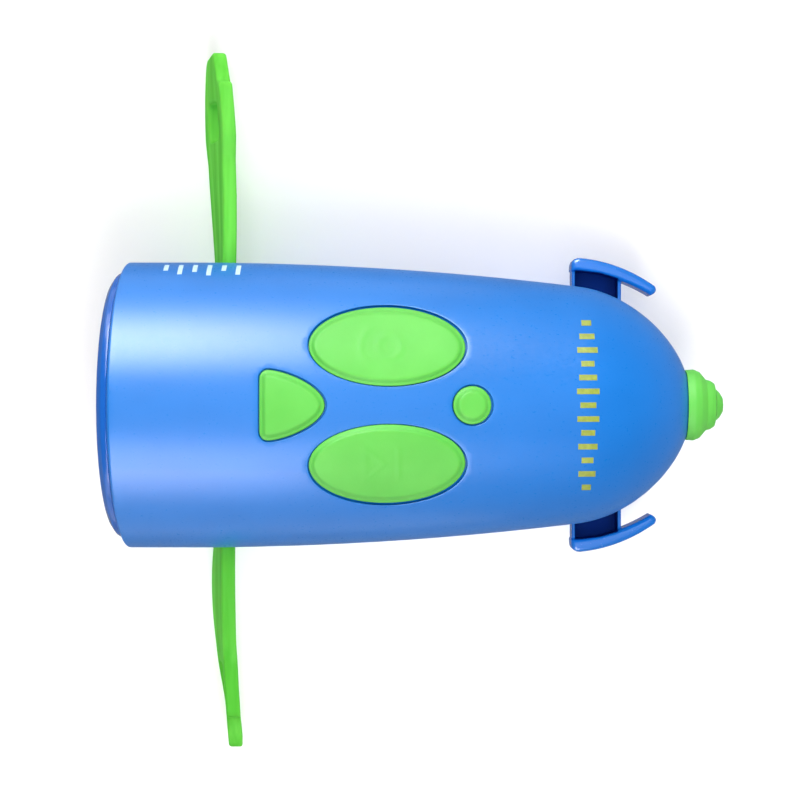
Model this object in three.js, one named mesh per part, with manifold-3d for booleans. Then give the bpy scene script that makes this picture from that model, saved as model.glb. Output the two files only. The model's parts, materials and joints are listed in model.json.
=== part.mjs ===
// A child's handlebar light and horn: a bullet-shaped shell with four sound and light keys, a torch and
// speaker in its raked front, a battery bay in its plinth, and a silicone strap that passes under the bar
// and hooks over two side hooks. Millimetres, +Z up, the lens faces -Y and the tail faces +Y.
// The origin is the centre of the whole object's footprint, on the flat underside of the plinth.
import * as THREE from 'three';
import * as BufferGeometryUtils from 'three/addons/utils/BufferGeometryUtils.js';
import Module from 'manifold-3d';

const wasm = await Module();
wasm.setup();

// Fits
const GAP = 0.3; // between pieces that touch on the real object
const MERGE = 1e-4;

// The shell is a body of revolution about a line along Y at AXIS_Z.
const AXIS_Z = 22;
const BODY_R = 22;
const TAPER_FROM_Y = -35; // the radius falls off with the square of the distance behind this
const TAPER = 0.00103;
const NOSE_FROM_Y = 25; // the elliptical tail begins here
const NOSE_LENGTH = 17.5;
const WALL = 2;
const SPLIT_Z = 20; // upper and lower housing meet here, just under the widest line
const SHELL_SEGMENTS = 32;

// The front face leans forward at the top.
const RAKE = THREE.MathUtils.degToRad(3.4);
const FRONT_Y = -44.6; // where the shell's front plane crosses the axis

// Plinth and handlebar saddle
const PLINTH = { halfWidth: 15.5, frontY: -37, rearY: 32.6, top: 12, cornerR: 4 };
const SADDLE = { y: -1, z: -10, radius: 17 };
const FLOOR = 1.6; // under the strap

// Battery door: flat on the rest plane, arched over the saddle
const DOOR = { halfWidth: 12.7, thick: 2, hingeY: -24, rearY: 29.2, archTop: 1.6, clear: 0.35 };
const DOOR_SCREW = { y: 27, top: 6.5, boreR: 1.75, doorHoleR: 1.5, shankR: 1.1 };
const PAD = { thick: 1.3, halfAngle: 46, halfWidth: 12.3 };

// Battery bay: two AAA cells side by side
const BAY = { halfWidth: 11.3, frontY: -24, rearY: 25, roof: 20.6, wall: 1.5, outerHalf: 14.4 };
const CELL = { radius: 5.2, length: 43.5, nubR: 1.9, nub: 1, x: 5.45, z: 14.5, offset: 0.5 };

// Strap: one silicone band through a slot, drawn as a centre and two links a side
const STRAP = {
  y: -30.3, thick: 2.2, z: 8.1, height: 12.4, centreHalf: 21.5, swingX: 28, curlX: 38.5, curlGap: 1.3,
  tipX: 55, paddleHeight: 15, tabRoot: 6, tabTip: 3.8, tabX: 50.4, holeX: [41.8, 48.2], holeHeight: 8.6,
};
const SLOT_CLEAR = 0.2; // each side of the strap, in thickness
const TUNNEL = { frontY: -33, rearY: -27.6, top: 16 };

// Side hooks that take the strap's holes
const HOOK = { z0: 8.5, z1: 15.5, frontY: 24.4, rearY: 32.3, wall: 0.7, floorZ: 9.3 };

// Keys on the top of the shell
const KEY = { proud: 0.7, skirt: 1.2, slab: 3, postR: 1.8, postZ: 34.4 };
const KEY_TOE = THREE.MathUtils.degToRad(1); // the long keys lean together at the rear
const BOARD = { z: 28.5, thick: 1.2, halfWidth: 14, frontY: -23.6, rearY: 14 };
const SWITCH = { half: 3, z: 30, height: 3, bore: 1.6, plungerR: 1.3, plungerZ: 31.9, plungerTop: 34.1 };

// Fasteners
const HOUSING_SCREWS = [
  { end: 'front', x: 14.2, y: -35, headZ: 6.2 },
  { end: 'rear', x: 7.2, y: 35.5, headZ: 14.6 },
];
const SCREW = { headR: 2.1, headH: 1.6, shankR: 1.05, boreR: 1.4, counterR: 2.5, bossR: 3.2, upperBossR: 2.6 };
const BOARD_SCREWS = [{ end: 'front', x: 9.5, y: -21.5 }, { end: 'rear', x: 10, y: 11.5 }];
const BOARD_SCREW = { headR: 1.6, headH: 1, shankR: 0.8, boreR: 1.15, postR: 2, reach: 4 };

// Speaker, behind a bulkhead of the upper housing
const SPEAKER = { z: 28, rimR: 11, frontY: -31.6, soundR: 9.8 };
const BULKHEAD = { frontY: -33.4, rearY: -31.9 };

const LEAD_R = 0.45;

// Trigger socket in the tail
const TAIL_HOLE_R = 4.4;
const SOCKET = { radius: 3.8, boreR: 2, frontY: 30, boreY: 31.5, rearY: 41 };

const SIDES = [{ name: 'left', sign: 1 }, { name: 'right', sign: -1 }];

const COLOUR = {
  shell: new THREE.MeshStandardMaterial({ color: 0x2f80e6, roughness: 0.45, metalness: 0 }),
  gloss: new THREE.MeshStandardMaterial({ color: 0x2a76dd, roughness: 0.12, metalness: 0 }),
  silicone: new THREE.MeshStandardMaterial({ color: 0x5fe04a, roughness: 0.5, metalness: 0 }),
  grille: new THREE.MeshStandardMaterial({ color: 0x16181c, roughness: 0.55, metalness: 0 }),
  clear: new THREE.MeshStandardMaterial({ color: 0xe8f2f8, roughness: 0.05, metalness: 0 }),
  mirror: new THREE.MeshStandardMaterial({ color: 0xd9dcdf, roughness: 0.08, metalness: 1 }),
  steel: new THREE.MeshStandardMaterial({ color: 0xb4b8bc, roughness: 0.3, metalness: 1 }),
  board: new THREE.MeshStandardMaterial({ color: 0x14663a, roughness: 0.5, metalness: 0 }),
  black: new THREE.MeshStandardMaterial({ color: 0x1b1c1f, roughness: 0.6, metalness: 0 }),
  rubber: new THREE.MeshStandardMaterial({ color: 0x202226, roughness: 0.85, metalness: 0 }),
  cell: new THREE.MeshStandardMaterial({ color: 0x8c9096, roughness: 0.35, metalness: 0.6 }),
  led: new THREE.MeshStandardMaterial({ color: 0xf3ecc0, roughness: 0.2, metalness: 0 }),
  lead: new THREE.MeshStandardMaterial({ color: 0xb3202a, roughness: 0.5, metalness: 0 }),
};

const part = new THREE.Group();
const front = new THREE.Group(); // its local Y axis runs square to the raked front face
front.position.set(0, FRONT_Y, AXIS_Z);
front.rotation.x = RAKE;
part.add(front);

// ---- Solids: closed three.js geometry in, joined and cut, geometry out ----

function solid(geometry) {
  const bare = geometry.clone();
  for (const name of Object.keys(bare.attributes)) {
    if (name !== 'position') bare.deleteAttribute(name);
  }
  const merged = BufferGeometryUtils.mergeVertices(bare, MERGE);
  const points = new Float32Array(merged.getAttribute('position').array);
  const corner = (i) => new THREE.Vector3().fromArray(points, i * 3);
  const index = merged.getIndex().array;
  const kept = [];
  let volume = 0;
  for (let i = 0; i < index.length; i += 3) {
    const [a, b, c] = [index[i], index[i + 1], index[i + 2]];
    if (a === b || b === c || c === a) continue;
    kept.push([a, b, c]);
    volume += corner(a).dot(corner(b).cross(corner(c)));
  }
  const outward = volume > 0 ? kept : kept.map(([a, b, c]) => [a, c, b]);
  return new wasm.Manifold(
    new wasm.Mesh({ numProp: 3, vertProperties: points, triVerts: new Uint32Array(outward.flat()) }),
  );
}

function geometryOf(manifold) {
  const made = manifold.getMesh();
  const geometry = new THREE.BufferGeometry();
  geometry.setAttribute('position', new THREE.BufferAttribute(new Float32Array(made.vertProperties), 3));
  geometry.setIndex(new THREE.BufferAttribute(new Uint32Array(made.triVerts), 1));
  return geometry;
}

function add(name, made, material, group = part) {
  const mesh = new THREE.Mesh(geometryOf(made), material);
  mesh.name = name;
  mesh.geometry.computeVertexNormals();
  group.add(mesh);
}

const join = (first, ...rest) => rest.reduce((all, one) => all.add(one), first);
const cut = (first, ...rest) => rest.reduce((all, one) => all.subtract(one), first);

function box(x0, x1, y0, y1, z0, z1) {
  const geometry = new THREE.BoxGeometry(x1 - x0, y1 - y0, z1 - z0);
  return solid(geometry.translate((x0 + x1) / 2, (y0 + y1) / 2, (z0 + z1) / 2));
}

const boxAcross = (halfWidth, y0, y1, z0, z1) => box(-halfWidth, halfWidth, y0, y1, z0, z1);

function rodZ(radius, x, y, z0, z1, segments = 16) {
  const geometry = new THREE.CylinderGeometry(radius, radius, z1 - z0, segments).rotateX(Math.PI / 2);
  return solid(geometry.translate(x, y, (z0 + z1) / 2));
}

function rodY(radius, x, z, y0, y1, segments = 24) {
  const geometry = new THREE.CylinderGeometry(radius, radius, y1 - y0, segments);
  return solid(geometry.translate(x, (y0 + y1) / 2, z));
}

function rodX(radius, y, z, halfLength, segments = 48) {
  const geometry = new THREE.CylinderGeometry(radius, radius, 2 * halfLength, segments);
  return solid(geometry.rotateZ(Math.PI / 2).translate(0, y, z));
}

// A profile of [radius, along] pairs turned about a line along Y through x = 0 and the height z.
function turned(profile, segments = 32, z = 0) {
  const points = profile.map(([radius, along]) => new THREE.Vector2(radius, along));
  const onAxis = points[0].x === 0 && points.at(-1).x === 0;
  if (!onAxis) points.push(points[0].clone());
  return solid(new THREE.LatheGeometry(points, segments).translate(0, 0, z));
}

// An upright prism on an outline in X and Y.
function prismZ(shape, z0, z1, curveSegments = 12) {
  const geometry = new THREE.ExtrudeGeometry(shape, { depth: z1 - z0, bevelEnabled: false, curveSegments });
  return solid(geometry.translate(0, 0, z0));
}

// A prism across X on an outline drawn in Y and Z.
function prismX(shape, x0, x1, curveSegments = 16) {
  const geometry = new THREE.ExtrudeGeometry(shape, { depth: x1 - x0, bevelEnabled: false, curveSegments });
  const axes = new THREE.Matrix4().makeBasis(
    new THREE.Vector3(0, 1, 0), new THREE.Vector3(0, 0, 1), new THREE.Vector3(1, 0, 0),
  );
  return solid(geometry.applyMatrix4(axes).translate(x0, 0, 0));
}

// A prism along Y on an outline drawn in X and Z.
function prismY(shape, y0, y1, curveSegments = 8) {
  const geometry = new THREE.ExtrudeGeometry(shape, { depth: y1 - y0, bevelEnabled: false, curveSegments });
  return solid(geometry.rotateX(Math.PI / 2).translate(0, y1, 0));
}

function roundedRectangle(x0, x1, y0, y1, r) {
  const shape = new THREE.Shape();
  shape.moveTo(x0 + r, y0);
  shape.lineTo(x1 - r, y0).absarc(x1 - r, y0 + r, r, -Math.PI / 2, 0);
  shape.lineTo(x1, y1 - r).absarc(x1 - r, y1 - r, r, 0, Math.PI / 2);
  shape.lineTo(x0 + r, y1).absarc(x0 + r, y1 - r, r, Math.PI / 2, Math.PI);
  shape.lineTo(x0, y0 + r).absarc(x0 + r, y0 + r, r, Math.PI, 1.5 * Math.PI);
  return shape;
}

function circlePoints(radius, count) {
  return new THREE.Path().absarc(0, 0, radius, 0, 2 * Math.PI).getPoints(count / 2).slice(0, count);
}

// ---- The shell's surface ----

const shankRadius = (y, offset) => BODY_R + offset - TAPER * Math.max(0, y - TAPER_FROM_Y) ** 2;

function bodyRadius(y, offset) {
  const along = Math.min(1, Math.max(0, y - NOSE_FROM_Y) / (NOSE_LENGTH + offset));
  return shankRadius(y, offset) * Math.sqrt(1 - along * along);
}

// The shell's outer surface moved out by offset, as a solid that runs past the raked front.
function bodySolid(offset) {
  const stations = [-60, -40, -28, -18, -8, 2, 11, 18, NOSE_FROM_Y];
  for (let degrees = 15; degrees < 90; degrees += 15) {
    stations.push(NOSE_FROM_Y + (NOSE_LENGTH + offset) * Math.sin(THREE.MathUtils.degToRad(degrees)));
  }
  const profile = stations.map((y) => [bodyRadius(y, offset), y]);
  profile.unshift([0, stations[0]]);
  profile.push([0, NOSE_FROM_Y + NOSE_LENGTH + offset]);
  return turned(profile, SHELL_SEGMENTS, AXIS_Z);
}

// Everything behind the raked front plane, with the shell's front edge chamfered.
function behindFront() {
  const reach = 140;
  const profile = [[0, 0], [20.7, 0], [22.3, 1.05], [reach, 1.05], [reach, reach], [0, reach]];
  const points = profile.map(([radius, along]) => new THREE.Vector2(radius, along));
  const geometry = new THREE.LatheGeometry(points, SHELL_SEGMENTS);
  return solid(geometry.rotateX(RAKE).translate(0, FRONT_Y, AXIS_Z));
}

const outer = bodySolid(0);
const inner = bodySolid(-WALL);
const inTheWall = bodySolid(-WALL / 2); // ribs and bosses end inside the wall
const trimmed = behindFront();

// ---- Keys ----

function longKeyOutline(sign, grow) {
  const shape = new THREE.Shape();
  shape.absellipse(sign * 8.7, -4.4, 5.85 + grow, 11.55 + grow, 0, 2 * Math.PI, false, sign * KEY_TOE);
  return shape;
}

function frontKeyOutline(grow) {
  const [half, y0, y1, r] = [5.2 + grow, -23.15 - grow, -13.6 + grow, 0.9 + grow / 2];
  const shape = new THREE.Shape();
  shape.moveTo(-half + r, y0);
  shape.lineTo(half - r, y0).quadraticCurveTo(half, y0, half, y0 + r);
  shape.bezierCurveTo(half - 0.2, y0 + 4.2, half * 0.5, y1, 0, y1);
  shape.bezierCurveTo(-half * 0.5, y1, -half + 0.2, y0 + 4.2, -half, y0 + r);
  shape.quadraticCurveTo(-half, y0, -half + r, y0);
  return shape;
}

function rearKeyOutline(grow) {
  const shape = new THREE.Shape();
  shape.absarc(0, 8.15, 2.8 + grow, 0, 2 * Math.PI);
  return shape;
}

const KEYS = [
  { name: 'left', x: 8.7, y: -4.4, outline: (grow) => longKeyOutline(1, grow) },
  { name: 'right', x: -8.7, y: -4.4, outline: (grow) => longKeyOutline(-1, grow) },
  { name: 'front', x: 0, y: -18.6, outline: frontKeyOutline },
  { name: 'rear', x: 0, y: 8.15, outline: rearKeyOutline },
];

function keyButton({ x, y, outline }) {
  const [low, high] = [24, 50];
  const cap = prismZ(outline(0), low, high).intersect(cut(bodySolid(KEY.proud), bodySolid(-KEY.slab)));
  const band = cut(bodySolid(-WALL - GAP), bodySolid(-KEY.slab - GAP));
  const skirt = prismZ(outline(KEY.skirt), low, high).intersect(band);
  const post = rodZ(KEY.postR, x, y, KEY.postZ, high, 12).intersect(bodySolid(-WALL - GAP));
  return join(cap, skirt, post);
}

function switchBody({ x, y }) {
  const { half, z, height, bore } = SWITCH;
  const body = box(x - half, x + half, y - half, y + half, z, z + height);
  return cut(body, rodZ(bore, x, y, z + 0.7, z + height + 1, 12));
}

// ---- Housings ----

function screwPlaces(list) {
  return list.flatMap((screw) => SIDES.map((side) => ({ ...screw, side: side.name, x: side.sign * screw.x })));
}

function upperHousing() {
  const [low, high] = [SPLIT_Z + GAP / 2, 60];
  const above = boxAcross(60, -70, 70, low, high);
  let shell = cut(outer.intersect(trimmed), inner).intersect(above);
  const bulkhead = cut(
    boxAcross(30, BULKHEAD.frontY, BULKHEAD.rearY, low, high).intersect(inTheWall),
    rodY(SPEAKER.soundR, 0, SPEAKER.z, -40, -25),
  );
  shell = join(shell, bulkhead);
  for (const { x, y } of screwPlaces(HOUSING_SCREWS)) {
    shell = join(shell, rodZ(SCREW.upperBossR, x, y, low, high).intersect(inTheWall));
    shell = cut(shell, rodZ(SCREW.boreR, x, y, 0, low + 8, 12));
  }
  for (const { x, y } of screwPlaces(BOARD_SCREWS)) {
    const seat = BOARD.z + BOARD.thick + GAP;
    shell = join(shell, rodZ(BOARD_SCREW.postR, x, y, seat, high, 12).intersect(inTheWall));
    shell = cut(shell, rodZ(BOARD_SCREW.boreR, x, y, 0, seat + BOARD_SCREW.reach, 12));
  }
  for (const key of KEYS) shell = cut(shell, prismZ(key.outline(GAP), SPLIT_Z + 8, high));
  return cut(shell, rodY(TAIL_HOLE_R, 0, AXIS_Z, 36, 60));
}

function hook(sign) {
  const plate = new THREE.Shape();
  plate.moveTo(21.8, HOOK.frontY);
  plate.quadraticCurveTo(23.1, HOOK.frontY, 23.1, HOOK.frontY + 1.4);
  plate.quadraticCurveTo(22.5, 32.1, 18.6, 37.6);
  plate.quadraticCurveTo(17.6, 37.9, 17.3, 36.7);
  plate.quadraticCurveTo(20.5, 31.6, 21.2, HOOK.frontY);
  const stem = box(10, 21.3, HOOK.frontY, HOOK.rearY, HOOK.z0, HOOK.z1);
  const overPlate = new THREE.Shape();
  overPlate.moveTo(8, 20).lineTo(21.7, 20).lineTo(21.7, HOOK.frontY);
  overPlate.quadraticCurveTo(21.2, 30, 19.6, 33).lineTo(8, 33);
  const [pocketFront, pocketRear] = [HOOK.frontY + HOOK.wall, HOOK.rearY - HOOK.wall];
  const pocket = new THREE.Shape();
  pocket.moveTo(15.6, pocketFront).lineTo(21.1, pocketFront);
  pocket.quadraticCurveTo(20.9, 29, 19.8, pocketRear).lineTo(15.6, pocketRear);
  const made = cut(
    join(prismZ(plate, HOOK.z0, HOOK.z1, 8), stem.intersect(prismZ(overPlate, 0, 30, 6))),
    prismZ(pocket, HOOK.floorZ, 30, 6),
  );
  return sign > 0 ? made : mirrored(made);
}

function mirrored(manifold) {
  return solid(geometryOf(manifold).scale(-1, 1, 1));
}

function doorOutline(grow) {
  const { hingeY, rearY, thick, archTop } = DOOR;
  const arch = (radius, z) => Math.sqrt(radius ** 2 - (z - SADDLE.z) ** 2);
  const lean = (radius, z) => Math.atan2(z - SADDLE.z, arch(radius, z));
  const [under, over, top] = [SADDLE.radius - grow, SADDLE.radius + archTop + grow, thick + grow];
  const shape = new THREE.Shape();
  shape.moveTo(hingeY, -grow);
  shape.lineTo(SADDLE.y - arch(under, -grow), -grow);
  shape.absarc(SADDLE.y, SADDLE.z, under, Math.PI - lean(under, -grow), lean(under, -grow), true);
  shape.lineTo(rearY + grow, -grow).lineTo(rearY + grow, top);
  shape.lineTo(SADDLE.y + arch(over, top), top);
  shape.absarc(SADDLE.y, SADDLE.z, over, lean(over, top), Math.PI - lean(over, top), false);
  shape.lineTo(hingeY, top);
  shape.absarc(hingeY, thick / 2, thick / 2 + grow, Math.PI / 2, 1.5 * Math.PI, false);
  return shape;
}

function strapTunnelSlot() {
  const [y, half] = [STRAP.y, STRAP.thick / 2 + SLOT_CLEAR];
  return boxAcross(40, y - half, y + half, FLOOR, STRAP.z + STRAP.height / 2 + GAP);
}

function lowerHousing() {
  const top = SPLIT_Z - GAP / 2;
  const { halfWidth, frontY, rearY, cornerR } = PLINTH;
  const plinth = prismZ(roundedRectangle(-halfWidth, halfWidth, frontY, rearY, cornerR), 0, PLINTH.top, 4);
  const below = boxAcross(60, -70, 70, -1, top);
  const skin = join(outer, plinth).intersect(trimmed).intersect(below);
  const shape = join(skin, hook(1), hook(-1));
  const tunnel = boxAcross(30, TUNNEL.frontY, TUNNEL.rearY, 1, TUNNEL.top).intersect(inTheWall);
  const tub = boxAcross(BAY.outerHalf, BAY.frontY - BAY.wall, BAY.rearY + BAY.wall, 1, BAY.roof + BAY.wall);
  let shell = join(cut(shape, inner), tunnel, tub);
  shell = join(shell, rodZ(SCREW.bossR, 0, DOOR_SCREW.y, 2, 10));
  for (const { x, y, headZ } of screwPlaces(HOUSING_SCREWS)) {
    shell = join(shell, rodZ(SCREW.bossR, x, y, 0, top).intersect(inTheWall));
    shell = cut(shell, rodZ(SCREW.boreR, x, y, 0, 30, 12), rodZ(SCREW.counterR, x, y, -1, headZ + SCREW.headH));
  }
  const door = prismX(doorOutline(DOOR.clear), -DOOR.halfWidth - GAP, DOOR.halfWidth + GAP);
  const bay = boxAcross(BAY.halfWidth, BAY.frontY, BAY.rearY, DOOR.thick / 2, BAY.roof);
  const saddle = rodX(SADDLE.radius, SADDLE.y, SADDLE.z, 40);
  const screwHole = rodZ(DOOR_SCREW.boreR, 0, DOOR_SCREW.y, 0, DOOR_SCREW.top + 0.8, 12);
  shell = cut(shell, door, bay, saddle, screwHole, strapTunnelSlot());
  return cut(shell, rodY(TAIL_HOLE_R, 0, AXIS_Z, 36, 60));
}

function addHousings() {
  add('upper_housing', upperHousing(), COLOUR.shell);
  add('lower_housing', lowerHousing(), COLOUR.shell);
  for (const { end, side, x, y, headZ } of screwPlaces(HOUSING_SCREWS)) {
    const seat = headZ + SCREW.headH - GAP;
    const head = rodZ(SCREW.headR, x, y, seat - SCREW.headH, seat, 12);
    add(`${end}_${side}_housing_screw`, join(head, rodZ(SCREW.shankR, x, y, seat - 0.5, SPLIT_Z + 6, 8)),
      COLOUR.steel);
  }
}

// ---- Front: bezel, grille, lens and torch, all square to the raked face ----

function grillePlate() {
  const [radius, hole, slotIn, slotOut, slots] = [17.2, 9.2, 11.2, 15.2, 10];
  const shape = new THREE.Shape(circlePoints(radius, 32));
  shape.holes.push(new THREE.Path(circlePoints(hole, 24)));
  for (let i = 0; i < slots; i += 1) {
    const [from, to] = [(i + 0.16) * 2 * Math.PI / slots, (i + 0.84) * 2 * Math.PI / slots];
    const slot = new THREE.Path();
    slot.absarc(0, 0, slotOut, from, to, false);
    slot.absarc(0, 0, slotIn, to, from, true);
    shape.holes.push(slot);
  }
  return prismY(shape, 0, 1.5, 2);
}

function addFront() {
  const bezel = [
    [16.4, -1.1], [16.9, -1.5], [18.8, -1.65], [19.7, -1.35], [20.3, -0.8], [20.5, -GAP], [19.4, -GAP],
    [19.4, 1.9], [17.5, 1.9], [17.5, -GAP], [16.4, -GAP],
  ];
  add('front_bezel', turned(bezel, SHELL_SEGMENTS), COLOUR.gloss, front);
  add('grille_plate', grillePlate(), COLOUR.grille, front);
  const lens = [
    [0, -2.3], [3.4, -2.1], [6.6, -1.4], [8.7, -0.3], [8.9, 0.2], [8.9, 1.8], [10.2, 1.8], [10.2, 2.8], [0, 2.8],
  ];
  add('torch_lens', turned(lens, 24), COLOUR.clear, front);
  add('lens_seal', turned([[8.8, 3.1], [10.2, 3.1], [10.2, 3.9], [8.8, 3.9]], 24), COLOUR.rubber, front);
  const reflector = [
    [10.2, 4.2], [10.2, 5], [9.2, 5], [6.4, 7], [3.4, 8.2], [2.5, 8.2], [2.5, 7.5], [5.4, 6.4], [8.2, 4.2],
  ];
  add('reflector', turned(reflector, 24), COLOUR.mirror, front);
  add('torch_led', turned([[0, 6.6], [1, 6.8], [1.6, 7.4], [1.6, 8.3], [0, 8.3]], 12), COLOUR.led, front);
  add('led_board', turned([[0, 8.6], [6, 8.6], [6, 9.2], [0, 9.2]], 20), COLOUR.board, front);
}

function addSpeaker() {
  const { frontY, rimR, z } = SPEAKER;
  const at = (profile) => turned(profile.map(([radius, behind]) => [radius, frontY + behind]), 24, z);
  const basket = [[9.8, 0], [rimR, 0], [rimR, 1.2], [7, 4.4], [5, 4.4], [5, 3.6], [9.8, 0.8]];
  add('speaker_frame', at(basket), COLOUR.steel);
  add('speaker_cone', at([[0, 0.1], [3, 0.6], [9.4, -0.7], [9.4, -0.3], [3, 1.1], [0, 1.1]]), COLOUR.black);
  add('speaker_magnet', at([[0, 4.7], [5.3, 4.7], [5.3, 7], [0, 7]]), COLOUR.steel);
}

// ---- Keys, switches and the main board ----

function addKeys() {
  for (const key of KEYS) {
    const { name, x, y } = key;
    add(`${name}_button`, keyButton(key), COLOUR.silicone);
    add(`${name}_switch`, switchBody(key), COLOUR.black);
    add(`${name}_switch_plunger`, rodZ(SWITCH.plungerR, x, y, SWITCH.plungerZ, SWITCH.plungerTop, 12),
      COLOUR.led);
  }
}

function addBoard() {
  const { z, thick, halfWidth, frontY, rearY } = BOARD;
  let board = prismZ(roundedRectangle(-halfWidth, halfWidth, frontY, rearY, 2), z, z + thick, 3);
  for (const { x, y } of screwPlaces(BOARD_SCREWS)) {
    board = cut(board, rodZ(BOARD_SCREW.boreR, x, y, z - 1, z + thick + 1, 12));
  }
  add('main_board', board, COLOUR.board);
  for (const { end, side, x, y } of screwPlaces(BOARD_SCREWS)) {
    const head = rodZ(BOARD_SCREW.headR, x, y, z - GAP - BOARD_SCREW.headH, z - GAP, 12);
    const shank = rodZ(BOARD_SCREW.shankR, x, y, z - GAP - 0.5, z + thick + BOARD_SCREW.reach - 0.5, 8);
    add(`${end}_${side}_board_screw`, join(head, shank), COLOUR.steel);
  }
  add('sound_chip', box(-4, 4, -10, -2, z - 1.5, z - GAP), COLOUR.black);
  add('capacitor', rodZ(2.6, -7, -14, z - 5.2, z - GAP, 16), COLOUR.cell);
}

// An insulated lead along a smooth line through its points.
function lead(points) {
  const line = new THREE.CatmullRomCurve3(points.map((point) => new THREE.Vector3(...point)));
  const options = { steps: 2 * (points.length - 1), curveSegments: 3, bevelEnabled: false, extrudePath: line };
  return solid(new THREE.ExtrudeGeometry(new THREE.Shape(circlePoints(LEAD_R, 6)), options));
}

function addLeads() {
  for (const { name, sign } of SIDES) {
    const speaker = [[6.3, -26.5, 28], [6.3, -25.3, 30.2], [6, -23.6, 30.9], [5.6, -22, 30.5]];
    const torch = [
      [4.5, -34.5, 17.8], [7, -33.6, 17.8], [9.3, -30.8, 18.2], [9.6, -27.6, 19], [9.6, -26.3, 22],
      [9.6, -25.6, 26], [9.6, -25, 29.4], [9.6, -24.4, 30.6],
    ];
    for (const [what, points] of [['speaker', speaker], ['torch', torch]]) {
      add(`${name}_${what}_lead`, lead(points.map(([x, y, z]) => [sign * x, y, z])), COLOUR.lead);
    }
  }
}

// ---- Power ----

function cell(x, towards) {
  const long = CELL.length / 2;
  const middle = towards * CELL.offset;
  const can = rodY(CELL.radius, x, CELL.z, middle - long, middle + long, 20);
  const nubFrom = middle + towards * (long - 0.5);
  const nubTo = middle + towards * (long + CELL.nub);
  return join(can, rodY(CELL.nubR, x, CELL.z, Math.min(nubFrom, nubTo), Math.max(nubFrom, nubTo), 12));
}

class SpringLine extends THREE.Curve {
  constructor(x, y0, y1) {
    super();
    Object.assign(this, { x, y0, y1, turns: 2, wide: 3.2, narrow: 2 });
  }

  getPoint(t, target = new THREE.Vector3()) {
    const radius = THREE.MathUtils.lerp(this.wide, this.narrow, t);
    const angle = 2 * Math.PI * this.turns * t;
    const y = THREE.MathUtils.lerp(this.y0, this.y1, t);
    return target.set(this.x + radius * Math.cos(angle), y, CELL.z + radius * Math.sin(angle));
  }
}

function batterySpring(x, y0, y1) {
  const wire = new THREE.Shape();
  wire.absarc(0, 0, 0.22, 0, 2 * Math.PI);
  const options = { steps: 24, curveSegments: 3, bevelEnabled: false, extrudePath: new SpringLine(x, y0, y1) };
  return solid(new THREE.ExtrudeGeometry(wire, options));
}

function addPower() {
  const plateHalf = 4.6;
  for (const { name, sign } of SIDES) {
    const x = sign * CELL.x;
    add(`${name}_battery`, cell(x, sign), COLOUR.cell);
    const flatEndWall = sign > 0 ? BAY.frontY : BAY.rearY;
    const springFrom = flatEndWall + sign * 1.3;
    const springTo = sign * (CELL.offset - CELL.length / 2 - 0.6);
    add(`${name}_battery_spring`, batterySpring(x, springFrom, springTo), COLOUR.steel);
    add(`${name}_rear_contact`, box(x - plateHalf, x + plateHalf, BAY.rearY - 0.7, BAY.rearY - GAP, 10, 19),
      COLOUR.steel);
  }
  add('front_contact', boxAcross(10.2, BAY.frontY + GAP, BAY.frontY + 0.7, 10, 19), COLOUR.steel);
}

function addDoor() {
  const { halfWidth } = DOOR;
  const head = { radius: 2.2, low: 0.4, high: 1.5 };
  const door = prismX(doorOutline(0), -halfWidth, halfWidth);
  add('battery_door', cut(
    door,
    rodZ(DOOR_SCREW.doorHoleR, 0, DOOR_SCREW.y, -1, 4, 12),
    rodZ(head.radius + GAP, 0, DOOR_SCREW.y, -1, head.high + 0.2),
  ), COLOUR.shell);
  const screw = join(
    rodZ(head.radius, 0, DOOR_SCREW.y, head.low, head.high, 12),
    rodZ(DOOR_SCREW.shankR, 0, DOOR_SCREW.y, head.high - 0.5, DOOR_SCREW.top, 8),
  );
  const slot = boxAcross(1.6, DOOR_SCREW.y - 0.3, DOOR_SCREW.y + 0.3, -1, head.low + 0.5);
  add('door_screw', cut(screw, slot), COLOUR.steel);
}

function addSaddlePad() {
  const outside = SADDLE.radius - GAP;
  const inside = outside - PAD.thick;
  const [from, to] = [90 + PAD.halfAngle, 90 - PAD.halfAngle].map(THREE.MathUtils.degToRad);
  const shape = new THREE.Shape();
  shape.absarc(SADDLE.y, SADDLE.z, outside, from, to, true);
  shape.absarc(SADDLE.y, SADDLE.z, inside, to, from, false);
  add('saddle_pad', prismX(shape, -PAD.halfWidth, PAD.halfWidth), COLOUR.rubber);
}

// ---- Strap ----

function innerLink() {
  const { swingX, curlX, curlGap, z, height } = STRAP;
  const half = height / 2;
  const shape = new THREE.Shape();
  shape.moveTo(curlX - curlGap, z - half).lineTo(curlX - curlGap, z + half).lineTo(swingX, z + half);
  shape.absarc(swingX, z, half, Math.PI / 2, 1.5 * Math.PI, false);
  return shape;
}

function outerLink() {
  const { curlX, curlGap, z, height, paddleHeight, tabRoot, tabTip, tabX, tipX, holeX, holeHeight } = STRAP;
  const [root, paddle] = [height / 2, paddleHeight / 2];
  const shape = new THREE.Shape();
  shape.moveTo(curlX + curlGap, z - root);
  shape.lineTo(curlX + curlGap + 2, z - paddle).lineTo(tipX - 2, z - paddle);
  shape.quadraticCurveTo(tipX, z - paddle, tipX, z - paddle + 2);
  shape.lineTo(tipX, z + tabTip - 2).quadraticCurveTo(tipX, z + tabTip, tipX - 1.5, z + tabTip);
  shape.lineTo(tabX, z + tabRoot).lineTo(tabX - 0.1, z + paddle - 0.5);
  shape.quadraticCurveTo(tabX - 0.1, z + paddle, tabX - 0.6, z + paddle);
  shape.lineTo(curlX + curlGap + 2, z + paddle).lineTo(curlX + curlGap, z + root);
  const hole = new THREE.Path(
    roundedRectangle(holeX[0], holeX[1], z - holeHeight / 2, z + holeHeight / 2, 1.5).getPoints(3),
  );
  shape.holes.push(hole);
  return shape;
}

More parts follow.
